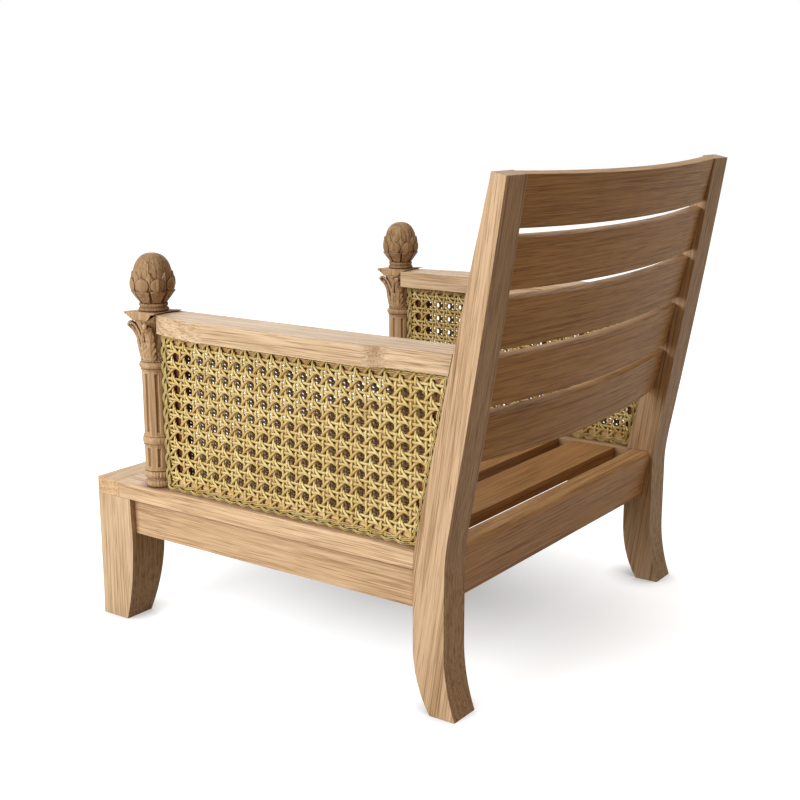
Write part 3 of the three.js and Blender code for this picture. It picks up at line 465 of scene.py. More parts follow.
def teak(name, turn, tone, painted_shade=0.8, reach=3 * MM, shade_colour=TEAK_PAINTED_SHADE, full=0.62, squash=(1, 1, 1)):
    """Sanded teak. squash scales the board's own axes, and turn then brings the grain to the local Z axis.

    Painted shade: grooves, joints and corners narrower than reach are darkened towards a shade colour,
    where shade would fall. The amount after tone is how far they darken, and full how closed they are by
    then.
    """
    made = Shader(name)
    where = made.node("TexCoord", output=3)
    along = made.node("Mapping", {"Vector": where, "Rotation": turn, "Scale": squash})
    chance = made.node("ObjectInfo", output=5)
    shift = {0: made.math("MULTIPLY", chance, 3.1), 2: made.math("MULTIPLY", chance, 17.0)}
    along = made.node("VectorMath", {0: along, 1: made.node("CombineXYZ", shift)}, operation="ADD")
    colour, fibre, pores = teak_grain(made, along)
    board = made.spread(chance, 0, 1, 0.95, 1.05)
    tint = made.node("CombineColor", {i: made.math("MULTIPLY", board, float(tone[i])) for i in range(3)})
    colour = made.mix(1.0, colour, tint, "MULTIPLY")
    # painted shade in grooves, joints and corners
    depth = made.spread(made.painted_shade(reach), 0.12, full, 0.0, painted_shade)
    colour = made.mix(depth, colour, shade_colour)
    made.feed(made.surface.inputs["Base Color"], colour)
    made.feed(made.surface.inputs["Roughness"], made.spread(fibre, 0.3, 0.7, 0.56, 0.42))
    made.surface.inputs["Specular IOR Level"].default_value = 0.12
    made.surface.inputs["Sheen Weight"].default_value = 0.1
    made.surface.inputs["Sheen Roughness"].default_value = 0.35
    made.bump(made.math("MULTIPLY_ADD", pores, -0.7, fibre), TEAK_RELIEF)
    return made.material


CANE_PALE = (0.93, 0.83, 0.42)
CANE_MID = (0.70, 0.54, 0.19)
CANE_DARK = (0.40, 0.25, 0.07)
CANE_BACK_SHADE = (0.26, 0.135, 0.045)
# Painted shade for the gaps where the strands cross and touch
CANE_PAINTED_SHADE = (0.07, 0.032, 0.010)
CANE_STREAKS = (14, 9, 1)
CANE_BLOTCHES = (40, 40, 40)
CANE_RIBS = (60, 26, 1)
CANE_RELIEF = 0.12 * MM
# Tones of the strand families: upright, level, and the two diagonals. The first three are the cane's own
# tones; the last, darker one is painted shade on the diagonals that climb towards the back.
FAMILY_TONES_AND_SHADE = [(0.98, 0.95, 0.86), (0.92, 0.88, 0.80), (1.0, 1.0, 1.0), (0.80, 0.70, 0.55)]


def cane(name, gain, back, reach):
    """Glossy cane. U runs along the strand in metres. V is the number of its family and its turn round it.
    back is how far the side of each strand that faces the panel is darkened, as painted shade.
    """
    made = Shader(name)
    chart = made.node("UVMap", uv_map="UVMap")
    parts = made.tree.nodes.new("ShaderNodeSeparateXYZ")
    made.feed(parts.inputs[0], chart)
    turn = made.math("MULTIPLY", parts.outputs[1], TURN)
    # painted shade on the side of each strand that faces the panel
    back_shade = made.spread(made.math("SINE", turn), 0.05, -0.6, 0.0, back)
    streaks = made.noise(chart, CANE_STREAKS, 3.0, 0.6)
    blotch = made.noise(made.node("TexCoord", output=3), CANE_BLOTCHES, 2.0)
    value = made.math("MULTIPLY_ADD", streaks, 0.6, made.math("MULTIPLY", blotch, 0.4))
    stops = [(0.0, CANE_DARK), (0.45, CANE_MID), (1.0, CANE_PALE)]
    colour = made.ramp(made.spread(value, 0.3, 0.66), stops)
    # the darker last tone is painted shade
    family = made.math("MULTIPLY", made.math("FLOOR", parts.outputs[1]), 1 / len(FAMILY_TONES_AND_SHADE))
    family_tone_and_shade_stops = [(i / len(FAMILY_TONES_AND_SHADE), tint) for i, tint in enumerate(FAMILY_TONES_AND_SHADE)]
    colour = made.mix(1.0, colour, made.ramp(family, family_tone_and_shade_stops), "MULTIPLY")
    colour = made.mix(1.0, colour, (gain, gain, gain), "MULTIPLY")
    colour = made.mix(back_shade, colour, CANE_BACK_SHADE)
    # painted shade in the gaps where strands cross and touch
    depth = made.spread(made.painted_shade(reach), 0.22, 0.72, 0.0, 0.93)
    colour = made.mix(depth, colour, CANE_PAINTED_SHADE)
    made.feed(made.surface.inputs["Base Color"], colour)
    made.feed(made.surface.inputs["Roughness"], made.spread(streaks, 0.3, 0.7, 0.42, 0.3))
    made.surface.inputs["Specular IOR Level"].default_value = 0.45
    made.bump(made.noise(chart, CANE_RIBS, 2.0), CANE_RELIEF)
    return made.material


# Timber


def soften(name, material, width):
    """Rounds the edges of a timber node and gives it its grain."""
    piece = nodes[name]
    piece.data.materials.clear()
    piece.data.materials.append(material)
    flat = piece.modifiers.new("flat_faces", "DECIMATE")
    flat.decimate_type = "DISSOLVE"
    flat.angle_limit = FLAT_ANGLE
    bevel = piece.modifiers.new("arris", "BEVEL")
    bevel.width = width
    bevel.segments = ARRIS_STEPS
    bevel.limit_method = "ANGLE"
    bevel.angle_limit = ARRIS_ANGLE
    bevel.use_clamp_overlap = True
    bevel.harden_normals = True
    piece.data.polygons.foreach_set("use_smooth", [True] * len(piece.data.polygons))


# Which way the grain runs, and then the tone of each kind of piece against plain teak
ALONG_X = (0, QUARTER, 0)
ALONG_Y = (QUARTER, 0, 0)
ALONG_Z = (0, 0, 0)
ALONG_BACK = (math.radians(8), 0, 0)
front_rail_look = teak("teak_front_rail", ALONG_X, (0.96, 1.0, 1.05))
# Side deck rails: the paler tone is painted light on them, and the wide reach paints a band of shade on the
# deck along the foot of the panel.
deck_look = teak("teak_side_rails", ALONG_Y, (1.01, 1.09, 1.22), 0.85, 24 * MM, full=0.38)
# Side aprons: the darker tone and the reach under the deck rail's overhang are painted shade.
side_look = teak("teak_side_aprons", ALONG_Y, (0.91, 0.95, 1.01), 0.8, 13 * MM, full=0.3)
front_leg_look = teak("teak_front_legs", ALONG_Z, (0.89, 0.98, 1.09))
back_leg_look = teak("teak_back_legs", ALONG_BACK, (0.89, 0.93, 1.0))
# Back slats: a darker, redder board, and painted shade too, for their rear faces in shade.
slat_look = teak("teak_back_slats", ALONG_X, (0.79, 0.675, 0.455), squash=BOWED)
# Seat slats: darkened as painted shade, for the shadow of the arms and panels on the seat.
seat_look = teak("teak_seat_slats", ALONG_X, (0.65, 0.52, 0.355))
apron_look = teak("teak_aprons", ALONG_X, (0.89, 0.79, 0.64))
arm_look = teak("teak_arms", ALONG_Y, (1.0, 1.12, 1.30))
# The carving gets strong painted shade deep in its grooves and crevices.
column_look = teak("teak_columns", ALONG_Z, (0.76, 0.77, 0.78), 0.92, 5 * MM, CARVED_PAINTED_SHADE)
finial_look = teak("teak_finials", ALONG_Z, (0.565, 0.55, 0.525), 0.95, 5 * MM, CARVED_PAINTED_SHADE)
# Panel posts: near black-brown, painted shade for the dark space between the two webs.
panel_post_shade_look = teak("teak_panel_posts", ALONG_Z, (0.27, 0.135, 0.095))
panel_rail_look = teak("teak_panel_top_rails", ALONG_Y, (0.84, 0.70, 0.66))
# Panel bottom rails: paler as painted light, where light comes in through the web, with less painted shade in
# their corners.
panel_foot_look = teak("teak_panel_bottom_rails", ALONG_Y, (1.2, 1.12, 1.08), 0.5)
cane_web_look = cane("cane_strands", 0.85, 0.9, 4 * MM)
cane_plait_look = cane("cane_plait", 0.72, 0.85, 4.5 * MM)

TIMBER = {
    "back_leg": (back_leg_look, ARRIS),
    "front_leg": (front_leg_look, ARRIS),
    "side_deck_rail": (deck_look, ARRIS),
    "side_apron": (side_look, ARRIS),
    "arm": (arm_look, ARRIS),
    "front_deck_rail": (front_rail_look, ARRIS),
    "front_apron": (apron_look, ARRIS),
    "rear_apron": (apron_look, ARRIS),
    "seat_slat": (seat_look, ARRIS),
    "back_slat": (slat_look, SLAT_ARRIS),
    "panel_bottom_rail": (panel_foot_look, FINE_ARRIS),
    "panel_top_rail": (panel_rail_look, FINE_ARRIS),
    "panel_front_post": (panel_post_shade_look, FINE_ARRIS),
    "panel_rear_post": (panel_post_shade_look, FINE_ARRIS),
}


def dress_timber():
    """Every node whose name starts with one of these kinds is sawn timber."""
    for name in nodes:
        for kind, (look, width) in TIMBER.items():
            if name.startswith(kind):
                soften(name, look, width)


# Columns


def bead(foot, high, inner, outer):
    """A half-round ring as (radius, height) points."""
    angle = np.linspace(-QUARTER, QUARTER, BEAD_STEPS)
    return np.stack([inner + (outer - inner) * np.cos(angle), foot + high / 2 * (1 + np.sin(angle))], axis=1)


def column_levels():
    """The height of each part of the turning above the deck."""
    at = SimpleNamespace(base=GAP)
    at.neck = at.base + BASE_TORUS_HIGH
    at.gadroon = at.neck + BASE_NECK_HIGH
    at.lower = at.gadroon + GADROON_HIGH
    at.ring = at.lower + LOWER_SHAFT_HIGH
    at.upper = at.ring + MID_RING_HIGH
    at.top_ring = at.upper + UPPER_SHAFT_HIGH
    at.bell = at.top_ring + TOP_RING_HIGH
    at.lip = abacus_top - ABACUS_HIGH - deck_top
    return at


level = column_levels()


def fillet(radius, height, start, end):
    """The foot and head of a narrow band, each a share of a fillet's height away from the given height."""
    return [(radius, height + FILLET_HIGH * start), (radius, height + FILLET_HIGH * end)]


def plain_shaft(radius, foot, head, steps):
    """The straight length between two fillets."""
    height = np.linspace(foot + FILLET_HIGH, head - FILLET_HIGH, steps)
    return np.stack([np.full(height.shape, radius), height], axis=1)


def over_bell(*points):
    """Points given as (radius, height above the foot of the bell)."""
    return [(radius, level.bell + height) for radius, height in points]


def column_profile():
    low = LOWER_SHAFT_RADIUS + FILLET_OUT
    high = UPPER_SHAFT_RADIUS + FILLET_OUT
    band = TOP_RING_RADIUS - 3 * FILLET_OUT
    bell_pull = (BELL_WAIST_RADIUS, level.lip - BELL_PULL_DROP)
    return np.concatenate([
        bead(level.base, BASE_TORUS_HIGH, BASE_NECK_RADIUS, BASE_TORUS_RADIUS),
        bead(level.gadroon, GADROON_HIGH, BASE_NECK_RADIUS, GADROON_RADIUS),
        fillet(low, level.lower, 0, 0.8),
        plain_shaft(LOWER_SHAFT_RADIUS, level.lower, level.ring, 46),
        fillet(low, level.ring, -0.8, -0.1),
        bead(level.ring, MID_RING_HIGH, UPPER_SHAFT_RADIUS, MID_RING_RADIUS),
        fillet(high, level.upper, 0.1, 0.8),
        plain_shaft(UPPER_SHAFT_RADIUS, level.upper, level.top_ring, 120),
        fillet(high, level.top_ring, -0.8, 0),
        bead(level.top_ring, TOP_RING_HIGH, BELL_FOOT_RADIUS, TOP_RING_RADIUS),
        fillet(band, level.bell, 0.04, 0.9),
        bezier((BELL_FOOT_RADIUS, level.bell + FILLET_HIGH), bell_pull, (BELL_LIP_RADIUS, level.lip), 30),
    ])


def flute_depth(angle, height, radius, foot, head, length):
    """How deep the flutes of one stretch are cut at each point."""
    pitch = TURN / FLUTE_COUNT
    off = (angle + pitch / 2) % pitch - pitch / 2
    across = 1 - smooth_step(np.abs(off) * radius, FLUTE_HALF * FLUTE_FLAT_SHARE, FLUTE_HALF)
    middle = (foot + head) / 2
    ends = 1 - smooth_step(np.abs(height - middle), length / 2 - FLUTE_END, length / 2)
    return FLUTE_DEEP * across * ends


def scallops(angle, count, roundness):
    """0 on each of count lobes round the column, and 1 in the cuts between them."""
    return (1 - np.abs(np.cos(count / 2 * angle))) ** roundness


def carve_shaft(angle, height, radius):
    """Cuts the flutes, the beads of the lowest ring and of the bell's foot, and the lobes between them."""
    low = flute_depth(angle, height, radius, level.lower, level.ring, LOWER_FLUTE)
    tall = flute_depth(angle, height, radius, level.upper, level.top_ring, UPPER_FLUTE)
    beaded = (height < level.neck) | (height > level.bell) & (height < level.bell + FILLET_HIGH)
    lobed = (height > level.gadroon) & (height < level.lower)
    beads = beaded * scallops(angle, BEAD_COUNT, 2) * BEAD_DEEP
    lobes = lobed * scallops(angle, GADROON_COUNT, 1.5) * BEAD_DEEP
    return radius - low - tall - beads - lobes


def round_grid(profile, carve):
    """A profile of (radius, height) points turned round the Z axis, with its radius carved."""
    angle = np.linspace(0, TURN, ROUND_STEPS, endpoint=False)[None, :]
    height = profile[:, 1:]
    radius = carve(angle, height, profile[:, :1])
    height = np.broadcast_to(height, radius.shape)
    return np.stack([radius * np.cos(angle), radius * np.sin(angle), height], axis=-1)


def arm_rise(y):
    """How far the underside of the top plate has climbed at y, on the side of the arm."""
    return ABACUS_RISE * np.clip((y - RISE_START) / (ARM_START - RISE_START), 0, 1) ** 1.7


def turned_grid():
    """The turned part of the column, whose lip climbs with the top plate beside the arm."""
    rings = round_grid(column_profile(), carve_shaft)
    rings[..., 2] += arm_rise(rings[..., 1]) * smooth_step(rings[..., 2], level.lip - LIP_CLIMB, level.lip)
    return rings


def abacus_grid():
    """The top plate: four hollowed sides, and horns that are cut away to a round foot below."""
    angle = np.linspace(0, TURN, ROUND_STEPS, endpoint=False)
    from_side = angle - QUARTER * np.round(angle / QUARTER)
    hollowed = (ABACUS_HALF - ABACUS_HOLLOW * np.cos(2 * from_side)) / np.cos(from_side)
    top = abacus_top - deck_top
    foot = top - ABACUS_HIGH
    share = np.linspace(0, 1, 16)[:, None]
    limit = ABACUS_FOOT_RADIUS + (ABACUS_HORN_RADIUS - ABACUS_FOOT_RADIUS) * share**1.25
    cut = np.minimum(hollowed, limit)
    rise = arm_rise(cut[-1:] * np.sin(angle))
    side = foot + rise + share * (ABACUS_HIGH - ABACUS_EDGE - rise)
    radius = np.concatenate([cut[:1] * ABACUS_FOOT_SHARE, cut, cut[-1:], cut[-1:] - ABACUS_BEVEL])
    flat = np.zeros(angle.shape)[None]
    height = np.concatenate([side[:1] - HAIR, side, flat + top - ABACUS_BEVEL, flat + top])
    return np.stack([radius * np.cos(angle), radius * np.sin(angle), height], axis=-1)


def leaf_grid(angle, path, half, thick, lobes, rib, cup=0.0, notch=0.0, veins=0.0):
    """A carved leaf along a path of (radius, height) points, with notched edges and a rib in its middle."""
    run = np.gradient(path, axis=0)
    run /= np.linalg.norm(run, axis=1)[:, None]
    normal = np.stack([run[:, 1], -run[:, 0]], axis=1)
    share = np.linspace(0, 1, len(path))[:, None]
    across = np.linspace(-1, 1, 19)[None, :]
    cleft = np.abs(np.cos(math.pi * lobes * share)) ** 6
    offset = across * half[:, None] * (1 - notch * cleft * np.abs(across))
    crown = rib * np.exp(-((across / RIB_SHARE) ** 2))
    slant = math.pi * (lobes * share - VEIN_SLANT * np.abs(across))
    crown = crown - veins * np.abs(np.cos(slant)) ** 3 * np.abs(across)
    crown = crown * np.sin(math.pi * np.clip(share * 0.9 + 0.08, 0, 1)) - cup * across**2
    sides = []
    for lift, order in ((0.5, 1), (-0.5, -1)):
        stand = thick * lift + crown * (lift > 0)
        out = path[:, :1] + normal[:, :1] * stand
        high = path[:, 1:] + normal[:, 1:] * stand
        turn = angle + offset / path[:, :1]
        side = np.stack([out * np.cos(turn), out * np.sin(turn), high], axis=-1)
        sides.append(side[:, ::order])
    return np.concatenate(sides, axis=1)


def face_leaf(angle):
    """The notched leaf in the middle of each face of the capital."""
    path = bezier(*over_bell(LEAF_ROOT, FACE_LEAF_PULL, FACE_LEAF_TIP), 40)
    share = np.linspace(0, 1, len(path))
    half = FACE_LEAF_HALF * np.sin(math.pi * (0.3 + 0.64 * share)) ** 0.7
    return leaf_grid(angle, path, half, LEAF_THICK, **FACE_LEAF_CARVING)


def corner_leaf(angle):
    """The leaf at each corner, whose tip curls out just below the scroll."""
    path = np.concatenate([
        bezier(*over_bell(LEAF_ROOT, CORNER_LEAF_PULL, CORNER_LEAF_BEND), 34),
        bezier(*over_bell(CORNER_LEAF_BEND, CORNER_LEAF_CREST, CORNER_LEAF_TIP), 7)[1:],
    ])
    share = np.linspace(0, 1, len(path))
    half = CORNER_LEAF_HALF * np.sin(math.pi * (0.3 + 0.56 * share)) ** 0.7
    return leaf_grid(angle, path, half, LEAF_THICK, **CORNER_LEAF_CARVING)


def horn(angle):
    """The fleshy horn under each pair of scrolls, thickest where it leaves the bell."""
    path = np.concatenate([
        bezier(*over_bell(HORN_ROOT, HORN_PULL, HORN_BEND), 18),
        bezier(*over_bell(HORN_BEND, HORN_CREST, HORN_TIP), 8)[1:],
    ])
    share = np.linspace(0, 1, len(path))
    half = HORN_HALF * (1 - 0.5 * share**3)
    thick = HORN_THICK * (1 - 0.55 * share**2)[:, None]
    return leaf_grid(angle, path, half, thick, **HORN_CARVING)


def scroll_path():
    """The middle line of a scroll: its stem up the bell, and then the curl."""
    centre = np.array([SCROLL_REACH, level.lip - SCROLL_DROP - SCROLL_RADIUS - SCROLL_THICK / 2])
    crown = centre + (0, SCROLL_RADIUS)
    pull = (SCROLL_PULL_RADIUS, level.lip - SCROLL_PULL_DROP)
    stem = bezier(*over_bell(SCROLL_ROOT), pull, crown, 26)
    turn = np.linspace(QUARTER, SCROLL_END, 26)[1:]
    reach = SCROLL_RADIUS * np.linspace(1, 0.45, len(turn))
    curl = centre + np.stack([reach * np.cos(turn), reach * np.sin(turn)], axis=1)
    return stem, curl


def scroll_grid(angle, side):
    """A stem that leaves the middle of one face and curls up under a corner of the top plate."""
    stem, curl = scroll_path()
    path = np.concatenate([stem, curl])
    run = np.gradient(path, axis=0)
    run /= np.linalg.norm(run, axis=1)[:, None]
    normal = np.stack([run[:, 1], -run[:, 0]], axis=1)
    sweep = np.concatenate([np.linspace(1, 0, len(stem)) ** 1.3, np.zeros(len(curl))])
    bearing = angle + side * (SCROLL_SWEEP * sweep + SCROLL_APART)
    around = np.linspace(0, TURN, SCROLL_SIDES, endpoint=False)
    slim = np.concatenate([np.linspace(0.8, 1, len(stem)), np.linspace(1, 0.6, len(curl))])
    out = np.cos(around)[None, :] * SCROLL_THICK / 2 * slim[:, None]
    wide = np.sin(around)[None, :] * SCROLL_WIDE / 2 * slim[:, None]
    radius = path[:, :1] + normal[:, :1] * out
    height = path[:, 1:] + normal[:, 1:] * out
    turn = bearing[:, None] - wide / path[:, :1]
    return np.stack([radius * np.cos(turn), radius * np.sin(turn), height], axis=-1)


def face_stem(angle):
    """The small upright stem in the middle of a face of the capital."""
    pull = (STEM_PULL_RADIUS, level.lip - STEM_PULL_DROP)
    path = bezier(*over_bell(STEM_ROOT), pull, (STEM_TIP_RADIUS, level.lip), 14)
    share = np.linspace(0, 1, len(path))
    half = STEM_HALF * (0.6 + 0.7 * share)
    return leaf_grid(angle, path, half, STEM_THICK, **STEM_CARVING)


def rest_on_arm(rings):
    """Trims the carving back to the front end of the arm and of the panel's top rail."""
    under, over = arm_under - deck_top - GAP, arm_top - deck_top + GAP
    height = rings[..., 2]
    beside = (height > under) & (height < over)
    limit = np.where(beside, ARM_START - GAP, np.inf)
    rings[..., 1] = np.minimum(rings[..., 1], limit)
    return rings


def column():
    """The whole column. The arm takes the place of one stem, and of one scroll at each corner beside it."""
    faces = [QUARTER * i for i in range(4)]
    arm_corners = [(ARM_CORNER, -1), (math.pi - ARM_CORNER, 1)]
    free_corners = [QUARTER * 2.5, QUARTER * 3.5]
    corners = [angle for angle, side in arm_corners] + free_corners
    scrolls = arm_corners + [(angle, side) for angle in free_corners for side in (-1, 1)]
    grids = [turned_grid(), abacus_grid()]
    grids += [face_leaf(angle) for angle in faces]
    grids += [corner_leaf(angle) for angle in corners]
    grids += [horn(angle) for angle in corners]
    grids += [scroll_grid(angle, side) for angle, side in scrolls]
    grids += [face_stem(angle) for angle in faces if angle != QUARTER]
    whole = Bundle()
    for grid in grids:
        whole.add(rest_on_arm(grid) + (column_x, column_y, deck_top))
    build_pair(whole, "column", column_look, "carving")


# Finials


def bud_profile():
    """The ringed foot, the cup and the bud, as (radius, height) points."""
    cup_ring = GAP + FOOT_RING_HIGH + RING_NECK_HIGH
    top = finial_top - abacus_top
    turn = np.linspace(0, QUARTER, 40)
    crown_radius = BUD_RADIUS * np.cos(turn) ** BUD_FULLNESS
    crown = np.stack([crown_radius, BUD_WIDEST + (top - BUD_WIDEST) * np.sin(turn)], axis=1)
    crown[-1, 0] = BUD_TIP_RADIUS
    cup_foot = (CUP_RADIUS, CUP_FOOT)
    cup_top = (CUP_TOP_RADIUS, LEDGE_HIGH)
    bud_pull = (BUD_RADIUS, (LEDGE_HIGH + BUD_WIDEST) / 2)
    return np.concatenate([
        bead(GAP, FOOT_RING_HIGH, RING_NECK_RADIUS, FOOT_RING_RADIUS),
        bead(cup_ring, CUP_RING_HIGH, RING_NECK_RADIUS, CUP_RING_RADIUS),
        [(CUP_RADIUS, CUP_FOOT - CUP_EDGE), cup_foot],
        bezier(cup_foot, CUP_PULL, cup_top, 20)[1:],
        bezier(cup_top, bud_pull, (BUD_RADIUS, BUD_WIDEST), 12)[1:],
        crown[1:],
    ])


def carve_bud(angle, height, radius):
    """Seams and fine veins divide the bud, and small beads run round its two foot rings."""
    top = finial_top - abacus_top
    fade = smooth_step(height, CUP_FOOT + SEAM_START, LEDGE_HIGH)
    fade = fade * (1 - smooth_step(height, top - SEAM_FADE, top - SEAM_STOP))
    seams = np.exp(-((np.sin(PETAL_COUNT / 2 * (angle + SEAM_TURN)) / SEAM_WIDTH) ** 2))
    veins = np.abs(np.sin(PETAL_COUNT * 1.5 * angle)) ** 6
    beads = (height < CUP_FOOT - CUP_EDGE) * scallops(angle, RING_BEADS, 2)
    return radius - (SEAM_DEEP * seams + BUD_VEIN_DEEP * veins) * fade - RING_BEAD_DEEP * beads


def cup_leaf(angle):
    """A straight leaf of the cup, which ends in a thin flat lip."""
    root = (CUP_RADIUS + CUP_LEAF_OUT, CUP_FOOT)
    under_lip = (LEDGE_RADIUS - CUP_LIP_DEEP, LEDGE_HIGH - CUP_LIP_DROP)
    lip = (LEDGE_RADIUS, LEDGE_HIGH + CUP_LIP_RISE)
    path = np.concatenate([bezier(root, CUP_LEAF_PULL, under_lip, 14), [lip]])
    pitch = TURN / PETAL_COUNT
    half = path[:, 0] * pitch / 2 * np.linspace(0.74, 0.93, len(path))
    return leaf_grid(angle, path, half, CUP_LEAF_THICK, **CUP_LEAF_CARVING)


def petal(angle, root, top, reach, wide, point):
    """A petal that hugs the bud. A larger point makes its tip blunter."""
    low = (min(reach, LEDGE_RADIUS) - PETAL_ROOT_IN, root)
    path = bezier(low, (reach + PETAL_SWELL, (root + top) / 2), (reach - PETAL_TIP_IN, top), 26)
    share = np.linspace(0, 1, len(path))
    below = PETAL_ROOT_SHARE + (1 - PETAL_ROOT_SHARE) * smooth_step(share, 0, PETAL_WIDEST_SHARE)
    above = 1 - (np.maximum(share - PETAL_WIDEST_SHARE, 0) / PETAL_TAPER_SHARE) ** point
    half = wide / 2 * np.where(share < PETAL_WIDEST_SHARE, below, above)
    return leaf_grid(angle, path, np.maximum(half, PETAL_TIP_HALF), PETAL_THICK, **PETAL_CARVING)


def outer_petal(angle):
    root = LEDGE_HIGH - OUTER_PETAL_DROP
    return petal(angle, root, OUTER_PETAL_TOP, OUTER_PETAL_RADIUS, OUTER_PETAL_WIDE, OUTER_PETAL_POINT)


def inner_petal(angle):
    return petal(angle, LEDGE_HIGH, INNER_PETAL_TOP, INNER_PETAL_RADIUS, INNER_PETAL_WIDE, INNER_PETAL_POINT)


def finial(side):
    """Both finials are turned the same way, so the mirrored one starts from the opposite turn."""
    pitch = TURN / PETAL_COUNT
    start = FINIAL_TURN if side == "left" else -FINIAL_TURN
    whole = Bundle()
    place = (column_x, column_y, abacus_top)
    whole.add(round_grid(bud_profile(), lambda angle, *rest: carve_bud(angle - start, *rest)) + place)
    for i in range(PETAL_COUNT):
        outer, inner = start + pitch * (i + 0.5), start + pitch * i
        for grid in (cup_leaf(outer), outer_petal(outer), inner_petal(inner)):
            whole.add(grid + place)
    whole.build("finial", side, finial_look, "carving")


# Cane webs


def rear_edge(z):
    """The rear limit of the strands at height z, under the edging."""
    return web_high.y + HIDDEN - BACK_SLOPE * (web_high.z - z)


class Web:
    """One woven web, in the plane x. out is +1 where its outer side faces away from the seat."""

    def __init__(self, x, out, shift=(0, 0)):
        self.x, self.out, self.bundle = x, out, Bundle()
        self.y0 = column_y + CANE_FIRST_COLUMN + shift[0]
        self.z0 = deck_top + CANE_FIRST_ROW + shift[1]
        self.front, self.foot, self.head = web_low.y, web_low.z - HIDDEN, web_high.z + HIDDEN
        self.strands = 0

    def strand(self, y, z, lift, across, family):
        """Lays a strand of a family through the points (y, z), raised by lift. across points to its side."""
        inside = (y >= self.front) & (y <= rear_edge(z)) & (z >= self.foot) & (z <= self.head)
        if inside.sum() < CANE_FEWEST:
            return
        y, z, lift = y[inside], z[inside], lift[inside]
        angle = np.linspace(0, TURN, CANE_SIDES, endpoint=False)[None, :]
        side = CANE_WIDE / 2 * np.cos(angle) * self.out
        height = lift[:, None] + CANE_THICK / 2 * np.sin(angle)
        x = self.x + self.out * height
        rings = np.stack([x, y[:, None] + across[0] * side, z[:, None] + across[1] * side], axis=-1)
        run = np.concatenate([[0], np.cumsum(np.hypot(np.diff(y), np.diff(z)))]) + self.strands * CANE_SHIFT
        uv = np.stack(np.broadcast_arrays(run[:, None], family + angle / TURN), axis=-1)
        self.bundle.add(rings, uv)
        self.strands += 1

    def cluster(self, place):
        """The over and under of a straight strand where it crosses a pair: up after, down before."""
        off = (place % CANE_PITCH) - CANE_PITCH / 2
        reach = 2 * CANE_PAIR
        return np.where(np.abs(off) < reach, CANE_LIFT * np.sin(math.pi * off / reach), 0)

    def weave(self):
        step = CANE_PITCH / CANE_STEPS
        ys = np.arange(self.front, rear_edge(self.head) + step, step)
        zs = np.arange(self.foot, self.head + step, step)
        first, last = -2, int((rear_edge(self.head) - self.y0) / CANE_PITCH) + 2
        rows = int((self.head - self.z0) / CANE_PITCH) + 2
        for i in range(first, last):
            for side in (-1, 1):
                y = self.y0 + (i + 0.5) * CANE_PITCH + side * CANE_PAIR
                if y > self.y0 - CANE_PITCH / 2:
                    self.strand(np.full(zs.shape, y), zs, side * self.cluster(zs - self.z0), (1, 0), 0)
        for j in range(-2, rows):
            for side in (-1, 1):
                z = self.z0 + (j + 0.5) * CANE_PITCH + side * CANE_PAIR
                self.strand(ys, np.full(ys.shape, z), -side * self.cluster(ys - self.y0), (0, -1), 1)
        wave = DIAGONAL_LIFT * np.clip(CANE_HOLD * np.cos(TURN * (ys - self.y0) / CANE_PITCH), -1, 1)
        root = math.sqrt(0.5)
        for slope in (-1, 1):
            for k in range(-rows - 2, last + rows + 2):
                z = self.z0 + slope * (ys - self.y0 - (k + 0.5) * CANE_PITCH)
                self.strand(ys, z, -slope * wave, (slope * root, -root), 3 if slope > 0 else 2)
        return self.bundle


def cane_panels():
    outer = column_x + panel_half + WEB_STAND
    inner = column_x - panel_half - WEB_STAND
    build_pair(Web(outer, 1).weave(), "cane_outer", cane_web_look, "cane")
    build_pair(Web(inner, -1, INNER_SHIFT).weave(), "cane_inner", cane_web_look, "cane")


# Plaited edgings


def loop_route():
    """The middle line of an edging, with rounded corners, as (y, z) points a small step apart."""
    half = (edge_high.x - edge_low.x) / 2
    low, high, front = edge_low.z + half, edge_high.z - half, edge_low.y + half
    rear_high = edge_high.y - half * math.sqrt(1 + BACK_SLOPE**2)
    rear_low = rear_high - BACK_SLOPE * (high - low)
    corners = [Vector(c) for c in ((front, low), (rear_low, low), (rear_high, high), (front, high))]
    points = []
    for i, corner in enumerate(corners):
        before = (corners[i - 1] - corner).normalized() * PLAIT_CORNER
        after = (corners[(i + 1) % 4] - corner).normalized() * PLAIT_CORNER
        points.append(bezier(corner + before, corner, corner + after, 12))
    route = np.concatenate(points)
    route = np.concatenate([route, route[:1]])
    run = np.concatenate([[0], np.cumsum(np.hypot(*np.diff(route, axis=0).T))])
    count = int(run[-1] / PLAIT_STEP)
    even = np.linspace(0, run[-1], count, endpoint=False)
    return np.stack([np.interp(even, run, route[:, k]) for k in (0, 1)], axis=1), run[-1]


